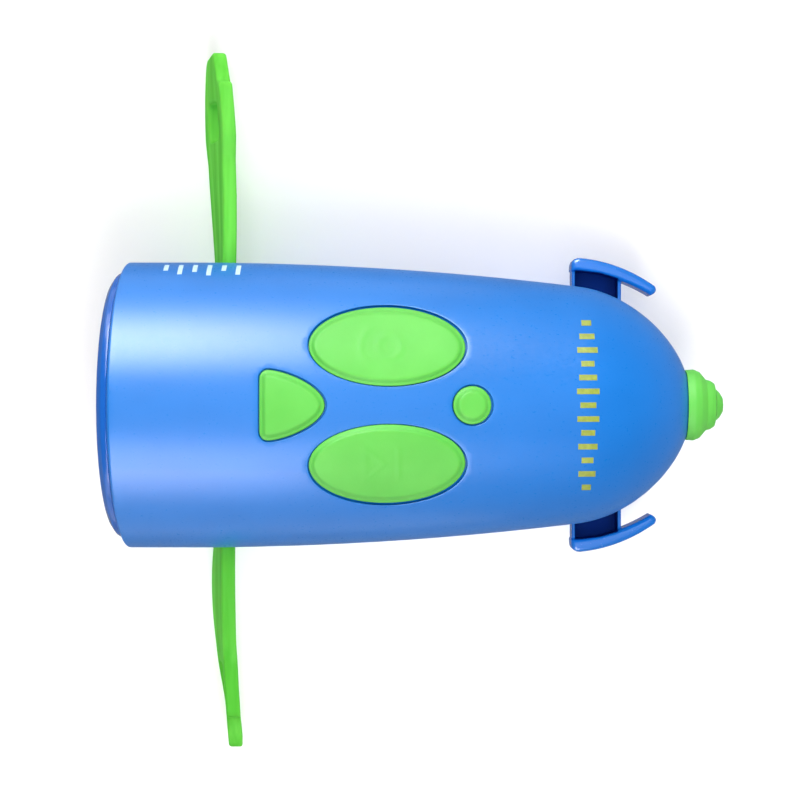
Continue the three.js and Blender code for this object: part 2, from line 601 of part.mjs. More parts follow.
function addStrap() {
  const [y0, y1] = [STRAP.y - STRAP.thick / 2, STRAP.y + STRAP.thick / 2];
  const half = STRAP.height / 2;
  add('strap_centre', boxAcross(STRAP.centreHalf, y0, y1, STRAP.z - half, STRAP.z + half), COLOUR.silicone);
  for (const { name, sign } of SIDES) {
    for (const [end, shape] of [['inner', innerLink()], ['outer', outerLink()]]) {
      const link = prismY(shape, y0, y1, 6);
      add(`${name}_strap_${end}`, sign > 0 ? link : mirrored(link), COLOUR.silicone);
    }
  }
}

// ---- Tail ----

function addTail() {
  const { radius, boreR, frontY, boreY, rearY } = SOCKET;
  const socket = cut(rodY(radius, 0, AXIS_Z, frontY, rearY), rodY(boreR, 0, AXIS_Z, boreY, rearY + 1, 16));
  add('trigger_socket', socket, COLOUR.black);
  const bung = [
    [0, 32.5], [1.6, 32.5], [1.6, 41.4], [4, 41.4], [4, 42.25], [5.4, 41.85], [5.5, 42.8], [5.1, 43.7],
    [3.9, 44.7], [3.75, 45.4], [3.3, 46], [2.5, 46.2], [1.95, 46.8], [1.1, 47.3], [0, 47.5],
  ];
  add('socket_bung', turned(bung, 20, AXIS_Z), COLOUR.silicone);
}

addHousings();
addFront();
addSpeaker();
addKeys();
addBoard();
addLeads();
addPower();
addDoor();
addSaddlePad();
addStrap();
addTail();

export default part;
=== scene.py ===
"""Looks of a child's handlebar light and horn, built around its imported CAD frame.

Shapes are made in millimetres, in the frame's own axes (+Z up, the lens faces -Y, the tail faces +Y),
and turned into metres where a mesh is made. Hidden pieces keep their CAD shape and get a material.
"""

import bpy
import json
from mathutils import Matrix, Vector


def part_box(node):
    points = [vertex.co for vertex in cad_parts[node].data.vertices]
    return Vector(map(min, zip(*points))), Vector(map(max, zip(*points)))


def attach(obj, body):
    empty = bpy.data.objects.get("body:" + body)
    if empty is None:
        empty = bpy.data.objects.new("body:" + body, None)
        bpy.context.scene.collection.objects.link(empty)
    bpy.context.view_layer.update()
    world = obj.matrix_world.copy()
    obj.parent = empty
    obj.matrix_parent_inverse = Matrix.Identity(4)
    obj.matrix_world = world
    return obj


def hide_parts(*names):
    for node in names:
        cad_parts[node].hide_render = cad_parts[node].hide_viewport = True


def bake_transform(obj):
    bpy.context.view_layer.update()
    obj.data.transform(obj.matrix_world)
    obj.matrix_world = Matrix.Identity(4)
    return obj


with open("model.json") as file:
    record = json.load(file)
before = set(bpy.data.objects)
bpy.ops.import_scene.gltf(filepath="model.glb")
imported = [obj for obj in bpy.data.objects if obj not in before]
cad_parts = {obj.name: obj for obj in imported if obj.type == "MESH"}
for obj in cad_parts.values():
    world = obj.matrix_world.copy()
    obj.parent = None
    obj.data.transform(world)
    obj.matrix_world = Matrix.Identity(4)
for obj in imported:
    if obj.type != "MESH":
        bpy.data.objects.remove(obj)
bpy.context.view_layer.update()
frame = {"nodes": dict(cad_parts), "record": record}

import json
import math

import bmesh
import bpy
import numpy as np
import openvdb
from mathutils import Matrix, Vector
from mathutils.geometry import delaunay_2d_cdt

MM = 0.001
GAP = 0.3


def corners(node):
    """The lowest and highest corners of a CAD node, in millimetres."""
    low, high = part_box(node)
    return np.array(low) / MM, np.array(high) / MM


# ---- Driving sizes, in millimetres ----

UPPER_LOW, UPPER_HIGH = corners("upper_housing")
BODY_R = round(float(UPPER_HIGH[0]), 2)
AXIS_Z = round(float(UPPER_HIGH[2]), 2) - BODY_R
SPLIT_UPPER = round(float(UPPER_LOW[2]), 2)
SPLIT_LOWER = SPLIT_UPPER - GAP
TAPER_FROM_Y = -35
TAPER = 0.00103
NOSE_FROM_Y = 25
NOSE_LENGTH = 17.5
WALL = 2
RAKE = math.radians(3.4)
FRONT_Y = -44.6
TAIL_HOLE_R = 4.4
KEY_PROUD = 0.75
SADDLE_Y, SADDLE_Z, SADDLE_R = -1, -10, 17
STRAP_LOW, STRAP_HIGH = corners("strap_centre")
STRAP_Y = float(STRAP_LOW[1] + STRAP_HIGH[1]) / 2
STRAP_Z = float(STRAP_LOW[2] + STRAP_HIGH[2]) / 2
STRAP_HALF = float(STRAP_HIGH[1] - STRAP_LOW[1]) / 2
STRAP_HEIGHT = float(STRAP_HIGH[2] - STRAP_LOW[2])
SIDES = (("left", 1), ("right", -1))


# ---- Camera, lights and floor ----

WHITE = (1.0, 1.0, 1.0)
CAMERA_XY = (-0.77, -2.5)
CAMERA_RISE = 430  # above the shell's widest line
VIEW_WIDTH = 123.7  # what the frame takes in at that height
SENSOR = 36


def add_camera():
    data = bpy.data.cameras.new("camera")
    data.sensor_width = SENSOR
    data.lens = SENSOR * CAMERA_RISE / VIEW_WIDTH
    data.clip_start = 0.01
    camera = bpy.data.objects.new("camera", data)
    camera.location = Vector((*CAMERA_XY, AXIS_Z + CAMERA_RISE)) * MM
    camera.rotation_euler = (0, 0, math.radians(90))
    bpy.context.scene.collection.objects.link(camera)
    bpy.context.scene.camera = camera


def softbox(name, at, size, power, colour, sort, floor_part=None, shadows=True, aim=(0, -10, 20),
            roll=0):
    """An area light in millimetres and watts, facing aim, rolled in degrees. sort is the shading it takes
    part in. floor_part gives it the floor alone, INCLUDE, or all but the floor, EXCLUDE, and without
    shadows only the floor blocks it."""
    data = bpy.data.lights.new(name, "AREA")
    data.shape = "RECTANGLE"
    data.size, data.size_y = size[0] * MM, size[1] * MM
    data.energy = power
    data.color = colour
    light = bpy.data.objects.new(name, data)
    light.location = Vector(at) * MM
    ahead = Vector(aim) * MM - light.location
    light.rotation_euler = (ahead.to_track_quat("-Z", "Y").to_matrix()
                            @ Matrix.Rotation(math.radians(roll), 3, "Z")).to_euler()
    light.visible_diffuse = sort == "diffuse"
    light.visible_glossy = sort == "glossy"
    light.visible_camera = False
    bpy.context.scene.collection.objects.link(light)
    if floor_part:
        receivers = bpy.data.collections.new(f"{name}_receivers")
        receivers.objects.link(bpy.data.objects["floor"])
        receivers.collection_objects[0].light_linking.link_state = floor_part
        light.light_linking.receiver_collection = receivers
        if not shadows:
            light.light_linking.blocker_collection = receivers


def add_lights():
    """Strips and cards for the shell's reflections, then soft light for the object and for the floor."""
    cool, rosy, warm, cream = (0.97, 0.99, 1.0), (1.0, 0.90, 0.93), (1.0, 0.99, 0.98), (1.0, 0.945, 0.905)
    for name, width, share in (("core", 260, 1.0), ("halo", 600, 1.7)):
        softbox(f"right_{name}", (-520, -190, 440), (410, width), 7.2 * share, cool, "glossy", roll=-12)
        softbox(f"left_{name}", (520, -160, 470), (410, width), 4.1 * share, rosy, "glossy")
    softbox("ceiling_card", (0, -60, 760), (1000, 220), 1.5, WHITE, "glossy")
    for (name, sign), power in zip(SIDES, (0.9, 1.9)):
        softbox(f"{name}_wall", (sign * 600, -190, 125), (500, 250), power, WHITE, "glossy")
        softbox(f"{name}_floor_card", (sign * 230, -215, 0.4), (340, 470), 0.53, WHITE, "glossy",
                aim=(sign * 230, -215, 100))
    softbox("fill_right", (-520, -60, 400), (400, 600), 1.9, WHITE, "diffuse", "EXCLUDE")
    softbox("overhead", (0, 60, 760), (500, 500), 4.4, WHITE, "diffuse", "EXCLUDE")
    softbox("key_left", (300, 60, 600), (180, 260), 1.9, warm, "diffuse", "INCLUDE")
    softbox("paper_light", (0, 0, 900), (500, 500), 5.4, cream, "diffuse", "INCLUDE", shadows=False)
    world = bpy.data.worlds.new("studio")
    world.use_nodes = True
    background = world.node_tree.nodes["Background"]
    background.inputs["Color"].default_value = (0.93, 0.96, 1.0, 1)
    background.inputs["Strength"].default_value = 0.36
    bpy.context.scene.world = world
    bpy.context.scene.view_settings.view_transform = "Standard"


def add_floor():
    mesh = bpy.data.meshes.new("floor")
    reach = 1600 * MM
    mesh.from_pydata([(-reach, -reach, 0), (reach, -reach, 0), (reach, reach, 0), (-reach, reach, 0)],
                     [], [(0, 1, 2, 3)])
    floor = bpy.data.objects.new("floor", mesh)
    bpy.context.scene.collection.objects.link(floor)
    mesh.materials.append(floor_paper())
    floor.visible_glossy = False


# ---- Materials ----

def node(tree, kind, **values):
    """A shader node, with values for its sockets or its own settings."""
    made = tree.nodes.new(kind)
    for name, value in values.items():
        if name in made.inputs:
            made.inputs[name].default_value = value
        else:
            setattr(made, name, value)
    return made


def spots(tree, scale, detail=2.0, roughness=0.5, stretch=(1, 1, 1)):
    """A noise pattern fixed to the piece, with scale in repeats per metre."""
    where = node(tree, "ShaderNodeTexCoord")
    squeeze = node(tree, "ShaderNodeMapping", Scale=stretch)
    noise = node(tree, "ShaderNodeTexNoise", Scale=scale, Detail=detail, Roughness=roughness)
    tree.links.new(where.outputs["Object"], squeeze.inputs["Vector"])
    tree.links.new(squeeze.outputs["Vector"], noise.inputs["Vector"])
    return noise.outputs["Fac"]


def spread(tree, fac, low, high):
    """A factor mapped to a range of values."""
    ramp = node(tree, "ShaderNodeMapRange",
                **{"From Min": 0.3, "From Max": 0.7, "To Min": low, "To Max": high})
    tree.links.new(fac, ramp.inputs["Value"])
    return ramp.outputs["Result"]


def tint(tree, fac, first, second):
    """A factor mapped to a colour between two."""
    ramp = node(tree, "ShaderNodeValToRGB")
    for stop, position, colour in zip(ramp.color_ramp.elements, (0.35, 0.65), (first, second)):
        stop.position = position
        stop.color = (*colour, 1)
    tree.links.new(fac, ramp.inputs["Fac"])
    return ramp.outputs["Color"]


def surface(name, dark, light, rough, mottle, grain, depth, stretch=(1, 1, 1), **shader):
    """A procedural material: mottled colour, uneven roughness and a fine moulded grain in the bump.

    dark and light are its colours, rough its lowest and highest roughness, mottle and grain are in
    repeats per metre, depth is the grain's height in millimetres, and stretch scales the pattern. shader
    holds sockets that are the same all over, with _ for each space in their names.
    """
    material = bpy.data.materials.new(name)
    material.use_nodes = True
    tree = material.node_tree
    bsdf = tree.nodes["Principled BSDF"]
    for socket, value in shader.items():
        bsdf.inputs[socket.replace("_", " ")].default_value = value
    mottled = spots(tree, mottle, 3.0, stretch=stretch)
    tree.links.new(tint(tree, mottled, dark, light), bsdf.inputs["Base Color"])
    grained = spots(tree, grain, 3.0, 0.6, stretch)
    tree.links.new(spread(tree, grained, *rough), bsdf.inputs["Roughness"])
    bump = node(tree, "ShaderNodeBump", Strength=1.0, Distance=depth * MM)
    tree.links.new(grained, bump.inputs["Height"])
    tree.links.new(bump.outputs["Normal"], bsdf.inputs["Normal"])
    material.diffuse_color = (*light, 1)
    return material


def floor_paper():
    return surface("floor_paper", (0.94, 0.94, 0.94), (0.96, 0.96, 0.96), (0.85, 0.95), 20, 900, 0.01)


def circuit_board(name):
    """Green solder mask over darker copper tracks."""
    material = surface(name, (0.01, 0.10, 0.035), (0.015, 0.14, 0.05), (0.3, 0.45), 200, 2500, 0.01)
    tree = material.node_tree
    bsdf = tree.nodes["Principled BSDF"]
    where = node(tree, "ShaderNodeTexCoord")
    tracks = node(tree, "ShaderNodeTexBrick", Scale=260.0, Color1=(0.012, 0.12, 0.04, 1),
                  Color2=(0.018, 0.17, 0.06, 1), Mortar=(0.006, 0.06, 0.02, 1))
    tree.links.new(where.outputs["Object"], tracks.inputs["Vector"])
    tree.links.new(tracks.outputs["Color"], bsdf.inputs["Base Color"])
    return material


def cell_sleeve(name):
    """A plain two-colour printed sleeve, split across the cell."""
    split_y = 10
    material = surface(name, (0.03, 0.03, 0.035), (0.05, 0.05, 0.055), (0.2, 0.32), 300, 1800, 0.006,
                       Metallic=0.35)
    tree = material.node_tree
    bsdf = tree.nodes["Principled BSDF"]
    where = node(tree, "ShaderNodeTexCoord")
    apart = node(tree, "ShaderNodeSeparateXYZ")
    beyond = node(tree, "ShaderNodeMath", operation="GREATER_THAN")
    beyond.inputs[1].default_value = split_y * MM
    mix = node(tree, "ShaderNodeMixRGB", Color1=(0.035, 0.036, 0.04, 1), Color2=(0.62, 0.34, 0.05, 1))
    tree.links.new(where.outputs["Object"], apart.inputs["Vector"])
    tree.links.new(apart.outputs["Y"], beyond.inputs[0])
    tree.links.new(beyond.outputs["Value"], mix.inputs["Fac"])
    tree.links.new(mix.outputs["Color"], bsdf.inputs["Base Color"])
    return material


SOFT = {"Subsurface_Weight": 0.12, "Subsurface_Scale": 0.0012}
# Each finish's slot in the record, or a name of this script's own, and then what surface takes.
FINISHES = (
    ("shell", "shell_blue", (0.005, 0.178, 0.62), (0.007, 0.196, 0.67), (0.26, 0.41), 90, 3000, 0.009,
     {"stretch": (1, 0.55, 1), "Specular_IOR_Level": 0.3}),
    ("satin", "satin_blue", (0.004, 0.16, 0.6), (0.006, 0.178, 0.65), (0.2, 0.28), 90, 1600, 0.005, {}),
    # recess: painted shade in the hook pockets, a dark navy far below the blue plastic that stands for the
    # shade deep inside them, with a rough, low-sheen surface.
    ("recess", "pocket_painted_shade", (0.001, 0.022, 0.19), (0.002, 0.03, 0.23), (0.6, 0.75), 90, 3000, 0.01,
     {"Specular_IOR_Level": 0.1}),
    ("gloss_shell", "gloss_blue", (0.003, 0.115, 0.5), (0.005, 0.128, 0.54), (0.1, 0.16), 60, 450, 0.002,
     {"Specular_IOR_Level": 0.4}),
    ("silicone", "silicone_green", (0.128, 0.595, 0.074), (0.15, 0.645, 0.088), (0.48, 0.62), 110, 2600,
     0.014, {"Specular_IOR_Level": 0.16, **SOFT}),
    ("strap", "strap_green", (0.105, 0.565, 0.044), (0.17, 0.71, 0.08), (0.5, 0.66), 420, 2200, 0.018,
     {"stretch": (0.1, 1, 1), "Specular_IOR_Level": 0.01, **SOFT}),
    ("grille", "grille_black", (0.012, 0.012, 0.014), (0.02, 0.02, 0.023), (0.45, 0.6), 200, 3200, 0.02, {}),
    ("lens", "lens_clear", (0.97, 0.985, 1.0), (0.99, 1.0, 1.0), (0.02, 0.05), 60, 300, 0.001,
     {"Transmission_Weight": 1.0, "IOR": 1.49}),
    ("rubber", "rubber_black", (0.01, 0.01, 0.012), (0.022, 0.022, 0.025), (0.7, 0.85), 160, 2400, 0.03, {}),
    ("mirror", "reflector_metal", (0.82, 0.83, 0.84), (0.88, 0.89, 0.9), (0.06, 0.12), 80, 900, 0.002,
     {"Metallic": 1.0}),
    ("led", "resin", (0.86, 0.8, 0.52), (0.92, 0.87, 0.62), (0.18, 0.28), 400, 2000, 0.004, {}),
    ("steel", "plated_steel", (0.5, 0.51, 0.52), (0.64, 0.65, 0.66), (0.24, 0.38), 700, 2800, 0.006,
     {"stretch": (1, 1, 0.2), "Metallic": 1.0}),
    ("black_plastic", "black_plastic", (0.012, 0.012, 0.013), (0.022, 0.022, 0.024), (0.4, 0.55), 150, 3000,
     0.015, {}),
    ("lead", "lead_insulation", (0.42, 0.012, 0.02), (0.5, 0.018, 0.028), (0.35, 0.48), 250, 2600, 0.008, {}),
    ("ink_lime", "ink_lime", (0.27, 0.33, 0.018), (0.35, 0.42, 0.03), (0.45, 0.6), 1400, 4200, 0.006, {}),
    ("ink_white", "ink_white", (0.55, 0.78, 0.9), (0.66, 0.86, 0.96), (0.4, 0.55), 1400, 4200, 0.006, {}),
)


def make_materials():
    looks = {slot: surface(*finish, **more) for slot, *finish, more in FINISHES}
    return {**looks, "board": circuit_board("solder_mask"), "can": cell_sleeve("cell_sleeve")}


# ---- Making meshes ----

def make(name, points, faces, material, stands_for=(), sharp=38, body="body"):
    """A mesh object from points in millimetres, with outward normals and creases over the sharp angle.

    material is its finish, stands_for the CAD nodes that it replaces, and body what it rides on.
    """
    mesh = bpy.data.meshes.new(name)
    corner_numbers = [tuple(map(int, face)) for face in faces]
    mesh.from_pydata((np.asarray(points, float) * MM).tolist(), [], corner_numbers)
    bm = bmesh.new()
    bm.from_mesh(mesh)
    bmesh.ops.remove_doubles(bm, verts=bm.verts, dist=1e-7)
    loose = [v for v in bm.verts if not v.link_faces]
    bmesh.ops.delete(bm, geom=loose, context="VERTS")
    bmesh.ops.recalc_face_normals(bm, faces=bm.faces)
    bm.to_mesh(mesh)
    bm.free()
    mesh.shade_smooth()
    mesh.set_sharp_from_angle(angle=math.radians(sharp))
    mesh.materials.append(material)
    piece = bpy.data.objects.new(name, mesh)
    bpy.context.scene.collection.objects.link(piece)
    if stands_for:
        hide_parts(*stands_for)
    if body:
        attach(piece, body)
    return piece


def bands(loops, closed=True):
    """Quads between each loop of point numbers and the next one."""
    faces = []
    for first, second in zip(loops, loops[1:]):
        count = len(first)
        for i in range(count if closed else count - 1):
            j = (i + 1) % count
            faces.append((first[i], first[j], second[j], second[i]))
    return faces


def arc(centre, radius, start, end, steps):
    """Points on a circle, with its angles in degrees."""
    angles = np.radians(np.linspace(start, end, steps + 1))
    return np.stack([centre[0] + radius * np.cos(angles), centre[1] + radius * np.sin(angles)], axis=1)


def rounded(points, radius, steps=6, closed=True):
    """A polygon with its corners rounded: radius is one number, or one for each point."""
    points = np.asarray(points, float)
    count = len(points)
    radii = np.broadcast_to(np.asarray(radius, float), (count,))
    out = []
    for i in range(count):
        before, at, after = points[i - 1], points[i], points[(i + 1) % count]
        if radii[i] <= 0 or (not closed and i in (0, count - 1)):
            out.append(at)
            continue
        u, v = before - at, after - at
        lu, lv = np.linalg.norm(u), np.linalg.norm(v)
        u, v = u / lu, v / lv
        half = math.acos(np.clip(u @ v, -1, 1)) / 2
        back = min(radii[i] / math.tan(half), 0.49 * lu, 0.49 * lv)
        for t in np.linspace(0, 1, steps + 1):
            a, b = at + u * back, at + v * back
            out.append((1 - t) ** 2 * a + 2 * t * (1 - t) * at + t * t * b)
    return np.array(out)


def resample(loop, step):
    """A closed loop again, with points about step apart that keep to its line."""
    loop = np.vstack([loop, loop[:1]])
    run = np.concatenate([[0], np.cumsum(np.linalg.norm(np.diff(loop, axis=0), axis=1))])
    at = np.linspace(0, run[-1], max(8, int(round(run[-1] / step))) + 1)[:-1]
    return np.stack([np.interp(at, run, loop[:, k]) for k in range(2)], axis=1)


def outward(loop):
    """Unit normals of a closed loop, away from what it encloses."""
    ahead, behind = np.roll(loop, -1, axis=0), np.roll(loop, 1, axis=0)
    along = ahead - behind
    normal = np.stack([along[:, 1], -along[:, 0]], axis=1)
    normal /= np.linalg.norm(normal, axis=1)[:, None]
    area = np.sum(loop[:, 0] * np.roll(loop[:, 1], -1) - loop[:, 1] * np.roll(loop[:, 0], -1))
    return normal if area > 0 else -normal


def inside(points, loop):
    """Which points lie inside a closed loop."""
    x, y = points[:, 0][:, None], points[:, 1][:, None]
    ax, ay = loop[:, 0][None], loop[:, 1][None]
    bx, by = np.roll(loop[:, 0], -1)[None], np.roll(loop[:, 1], -1)[None]
    spans = (ay > y) != (by > y)
    with np.errstate(divide="ignore", invalid="ignore"):
        crossing = ax + (y - ay) * (bx - ax) / (by - ay)
    return (spans & (x < crossing)).sum(axis=1) % 2 == 1


def clear_of(points, loop, distance):
    """Which points are further than a distance from every point of a loop."""
    gap = np.linalg.norm(points[:, None] - loop[None], axis=2).min(axis=1)
    return gap > distance


def fill(flat, loops, holes, loose):
    """Triangles that fill the first loop except its holes: flat holds every point's place on the sheet,
    loops the point numbers of each closed loop, and loose the numbers of points in between."""
    order = [n for loop in loops for n in loop] + list(loose)
    edges, base = [], 0
    for loop in loops:
        count = len(loop)
        edges += [(base + i, base + (i + 1) % count) for i in range(count)]
        base += count
    result = delaunay_2d_cdt([Vector(flat[n]) for n in order], edges, [], 0, 1e-6, True)
    places, triangles, origins = result[0], result[2], result[3]
    names = [order[origin[0]] if origin else None for origin in origins]
    middle = np.array([np.mean([places[v] for v in t], axis=0) for t in triangles])
    keep = inside(middle, np.array([flat[n] for n in loops[0]]))
    for hole in holes:
        keep &= ~inside(middle, hole)
    return [tuple(names[v] for v in t) for t, kept in zip(triangles, keep)
            if kept and None not in [names[v] for v in t]]


def plan_grid(loop, pitch):
    """A square grid of points over a loop's box."""
    low, high = loop.min(axis=0), loop.max(axis=0)
    u, v = np.meshgrid(np.arange(low[0], high[0], pitch), np.arange(low[1], high[1], pitch))
    return np.stack([u.ravel(), v.ravel()], axis=1)


def slab(outline, holes, half, radius, step, flat_ends=()):
    """A flat plate in the U-V plane, from -half to +half in W, with rounded edges; returns points, faces.

    flat_ends are U values where the plate ends square, so that another one can follow on.
    """
    loops = [resample(outline, step)] + [resample(hole, step) for hole in holes]
    normals = [outward(loop) * (-1 if i == 0 else 1) for i, loop in enumerate(loops)]
    points, faces, count, rims = [], [], 0, []
    turns = np.radians(np.linspace(0, 90, 5))
    for loop, normal in zip(loops, normals):
        rings = []
        levels = [(radius * (1 - math.sin(t)), half - radius * (1 - math.cos(t))) for t in turns]
        for inset, w in levels + [(a, -b) for a, b in reversed(levels)]:
            ring = loop + normal * inset
            for end in flat_ends:
                at_end = np.abs(loop[:, 0] - end) < 1e-3
                ring[at_end, 0] = end
            points += [(u, v, w) for u, v in ring]
            rings.append(list(range(count, count + len(ring))))
            count += len(ring)
        faces += bands(rings)
        rims.append(rings)
    grid = plan_grid(loops[0], 1.6 * step)
    edge, *hole_edges = [np.array([points[n][:2] for n in rim[0]]) for rim in rims]
    keep = inside(grid, edge) & clear_of(grid, edge, 0.7 * step)
    for hole in hole_edges:
        keep &= ~inside(grid, hole) & clear_of(grid, hole, 0.7 * step)
    for side, w in ((0, half), (-1, -half)):
        points += [(a, b, w) for a, b in grid[keep]]
        loose = range(count, count + int(keep.sum()))
        count += int(keep.sum())
        borders = [rim[side] for rim in rims]
        flat = {n: points[n][:2] for n in [*loose, *(n for border in borders for n in border)]}
        faces += fill(flat, borders, hole_edges, loose)
    return np.array(points), faces


def turned(profile, segments=128):
    """Points and faces of a profile of (radius, along) turned about a line along Y; it starts and ends on
    the axis, or closes on itself."""
    profile = np.asarray(profile, float)
    on_axis = profile[0, 0] < 1e-6 and profile[-1, 0] < 1e-6
    angles = np.linspace(0, 2 * math.pi, segments, endpoint=False)
    rings, points = [], []
    for radius, along in profile[1:-1] if on_axis else profile:
        rings.append(list(range(len(points), len(points) + segments)))
        points += [(radius * math.sin(a), along, radius * math.cos(a)) for a in angles]
    faces = bands(rings if on_axis else rings + rings[:1])
    if on_axis:
        for (_, along), ring in ((profile[0], rings[0]), (profile[-1], rings[-1])):
            points.append((0, along, 0))
            faces += [(ring[i], ring[(i + 1) % segments], len(points) - 1) for i in range(segments)]
    return np.array(points), faces


def in_front(points):
    """Points of the raked front unit, moved from its own axes to the object's."""
    turn = Matrix.Rotation(RAKE, 3, "X")
    return np.asarray(points) @ np.array(turn).T + [0, FRONT_Y, AXIS_Z]


def shifted(points, x=0.0, z=0.0):
    return np.asarray(points) + [x, 0, z]


def across_x(points):
    """A plate's points, with its U along Y, its V along Z and its thickness along X."""
    return points[:, [2, 0, 1]]


# ---- The shell's surface ----

def shank_radius(y, offset=0.0):
    return BODY_R + offset - TAPER * np.maximum(0, y - TAPER_FROM_Y) ** 2


def body_radius(y, offset=0.0):
    along = np.clip((y - NOSE_FROM_Y) / (NOSE_LENGTH + offset), 0, 1)
    return shank_radius(y, offset) * np.sqrt(1 - along ** 2)


def nose_y(radius, offset=0.0):
    """Where the tail's surface has a given radius."""
    y = NOSE_FROM_Y + NOSE_LENGTH + offset
    for _ in range(8):
        y = NOSE_FROM_Y + (NOSE_LENGTH + offset) * np.sqrt(1 - (radius / shank_radius(y, offset)) ** 2)
    return y


def height(x, y, offset=0.0):
    """How high the surface is over a point of the plan."""
    return AXIS_Z + np.sqrt(np.maximum(body_radius(y, offset) ** 2 - x ** 2, 0))


def around_axis(radius, angle, y):
    """Places on the shell, by distance from its axis, angle from the top and place along it."""
    return np.stack([radius * np.sin(angle), y, AXIS_Z + radius * np.cos(angle)], axis=-1)


def split_angle(radius):
    """The angle from the top at which the upper shell ends."""
    return np.arccos(np.clip((SPLIT_UPPER - AXIS_Z) / radius, -1, 1))


# ---- Key outlines, in plan ----

def oval(x, y, half_width, half_length, toe, steps):
    """An ellipse about a place in the plan, turned by toe in degrees."""
    t, toe = np.linspace(0, 2 * math.pi, steps, endpoint=False), math.radians(toe)
    u, v = half_width * np.cos(t), half_length * np.sin(t)
    return np.stack([x + u * math.cos(toe) - v * math.sin(toe),
                     y + u * math.sin(toe) + v * math.cos(toe)], axis=1)


def bezier(*controls, steps):
    """Points from the first control point on, short of the last one."""
    t, last = np.linspace(0, 1, steps + 1)[:-1, None], len(controls) - 1
    return sum(math.comb(last, k) * t ** k * (1 - t) ** (last - k) * np.array(p, float)
               for k, p in enumerate(controls))


def front_key():
    """D-shaped: flat towards the lens, with a blunt rounded tip towards the tail."""
    half, front, tip, r = 5.2, -23.15, -13.6, 1.2
    side = bezier((half, front + r), (half - 0.2, front + 4.2), (half * 0.5, tip), (0, tip), steps=24)
    corner = arc((half - r, front + r), r, -90, 0, 6)[:-1]
    right = np.vstack([corner, side])
    left = right[::-1] * [-1, 1]
    loop = np.vstack([right, [[0, tip]], left])
    return resample(loop, 0.42)


KEYS = {
    "left": oval(8.7, -4.4, 5.85, 11.55, 1, 112),
    "right": oval(-8.7, -4.4, 5.85, 11.55, -1, 112),
    "front": front_key(),
    "rear": oval(0, 8.15, 2.8, 2.8, 0, 64),
}


# ---- Upper shell ----

# The shell's rounded front edge: how far behind the raked plane, and how far inside the surface.
LIP = ((0, 1.5), (0.02, 1.4), (0.06, 1.25), (0.22, 0.7), (0.35, 0.28), (0.44, 0.12), (0.57, 0.03), (0.75, 0))
RIM = 0.14  # rounding of the key openings' edges
KEY_GAP = 0.24
LEDGE = 0.9  # depth of the step in the shell around each key
LEDGE_GAP = 0.07
KEY_SHIFT = 0.15  # the keys sit this much nearer the centre line than their openings
COLUMNS = 112
BODY_ROWS = 88
NOSE_ROWS = 34
# The patch around the keys: its ends along Y, its share of the shell's width, and the radius it unrolls at.
PATCH_Y = (-26.5, 13.2)
PATCH_SHARE = 0.6
UNROLL_R = 20


def shell_grid(offset, lip, end_radius):
    """Rows of points over the upper shell's surface, from its front edge to the tail hole."""
    t = np.linspace(-1, 1, COLUMNS + 1)
    rows = []
    for w, inset in lip:
        radius = BODY_R + offset - inset
        angle = t * split_angle(radius)
        y = FRONT_Y - math.tan(RAKE) * (radius * np.cos(angle)) + w
        rows.append(around_axis(radius, angle, y))
    start = rows[-1][:, 1]
    last = math.asin((nose_y(end_radius, offset) - NOSE_FROM_Y) / (NOSE_LENGTH + offset))
    along = [start + f * (NOSE_FROM_Y - start) for f in np.linspace(0, 1, BODY_ROWS + 1)[1:]]
    along += [np.full_like(t, NOSE_FROM_Y + (NOSE_LENGTH + offset) * math.sin(phi))
              for phi in np.linspace(0, last, NOSE_ROWS + 1)[1:]]
    for y in along:
        radius = body_radius(y, offset)
        rows.append(around_axis(radius, t * split_angle(radius), y))
    return rows


def tail_edge():
    """Rows that round the edge of the tail hole and run in to the inner surface."""
    t = np.linspace(-1, 1, COLUMNS + 1)
    rows = []
    for turn in np.radians((30, 60, 90)):
        radius, depth = TAIL_HOLE_R + RIM * (1 - math.sin(turn)), RIM * (1 - math.cos(turn))
        y = np.full_like(t, nose_y(radius) - depth)
        rows.append(around_axis(radius, t * split_angle(radius), y))
    return rows


def opened_grid(rows, key_rings, points):
    """Faces of a grid of rows, with the key openings left out of a patch that is filled around them, and
    a function that gives a grid point's number."""
    base = len(points)
    for row in rows:
        points += row.tolist()

    def number(r, c):
        return base + r * (COLUMNS + 1) + c

    middle = COLUMNS // 2
    spine = np.array([row[middle][1] for row in rows])
    r0, r1 = (int(np.argmax(spine > y)) for y in PATCH_Y)
    reach = int(middle * PATCH_SHARE)
    c0, c1 = middle - reach, middle + reach
    faces = [(number(r, c), number(r, c + 1), number(r + 1, c + 1), number(r + 1, c))
             for r in range(len(rows) - 1) for c in range(COLUMNS)
             if not (r0 <= r < r1 and c0 <= c < c1)]
    border = ([number(r0, c) for c in range(c0, c1)] + [number(r, c1) for r in range(r0, r1)]
              + [number(r1, c) for c in range(c1, c0, -1)] + [number(r, c0) for r in range(r1, r0, -1)])
    spare = np.array([number(r, c) for r in range(r0 + 1, r1) for c in range(c0 + 1, c1)])

    def flatten(numbers):
        """Points unrolled from the shell onto a flat sheet."""
        p = np.array([points[n] for n in numbers])
        return np.stack([UNROLL_R * np.arctan2(p[:, 0], p[:, 2] - AXIS_Z), p[:, 1]], axis=1)

    holes = [flatten(ring) for ring in key_rings]
    spare_at = flatten(spare)
    keep = np.ones(len(spare), bool)
    for hole in holes:
        keep &= ~inside(spare_at, hole) & clear_of(spare_at, hole, 0.3)
    loose = spare[keep]
    used = [*border, *(n for ring in key_rings for n in ring), *loose]
    flat = dict(zip(used, flatten(used).tolist()))
    faces += fill(flat, [border, *key_rings], holes, loose)
    return faces, number


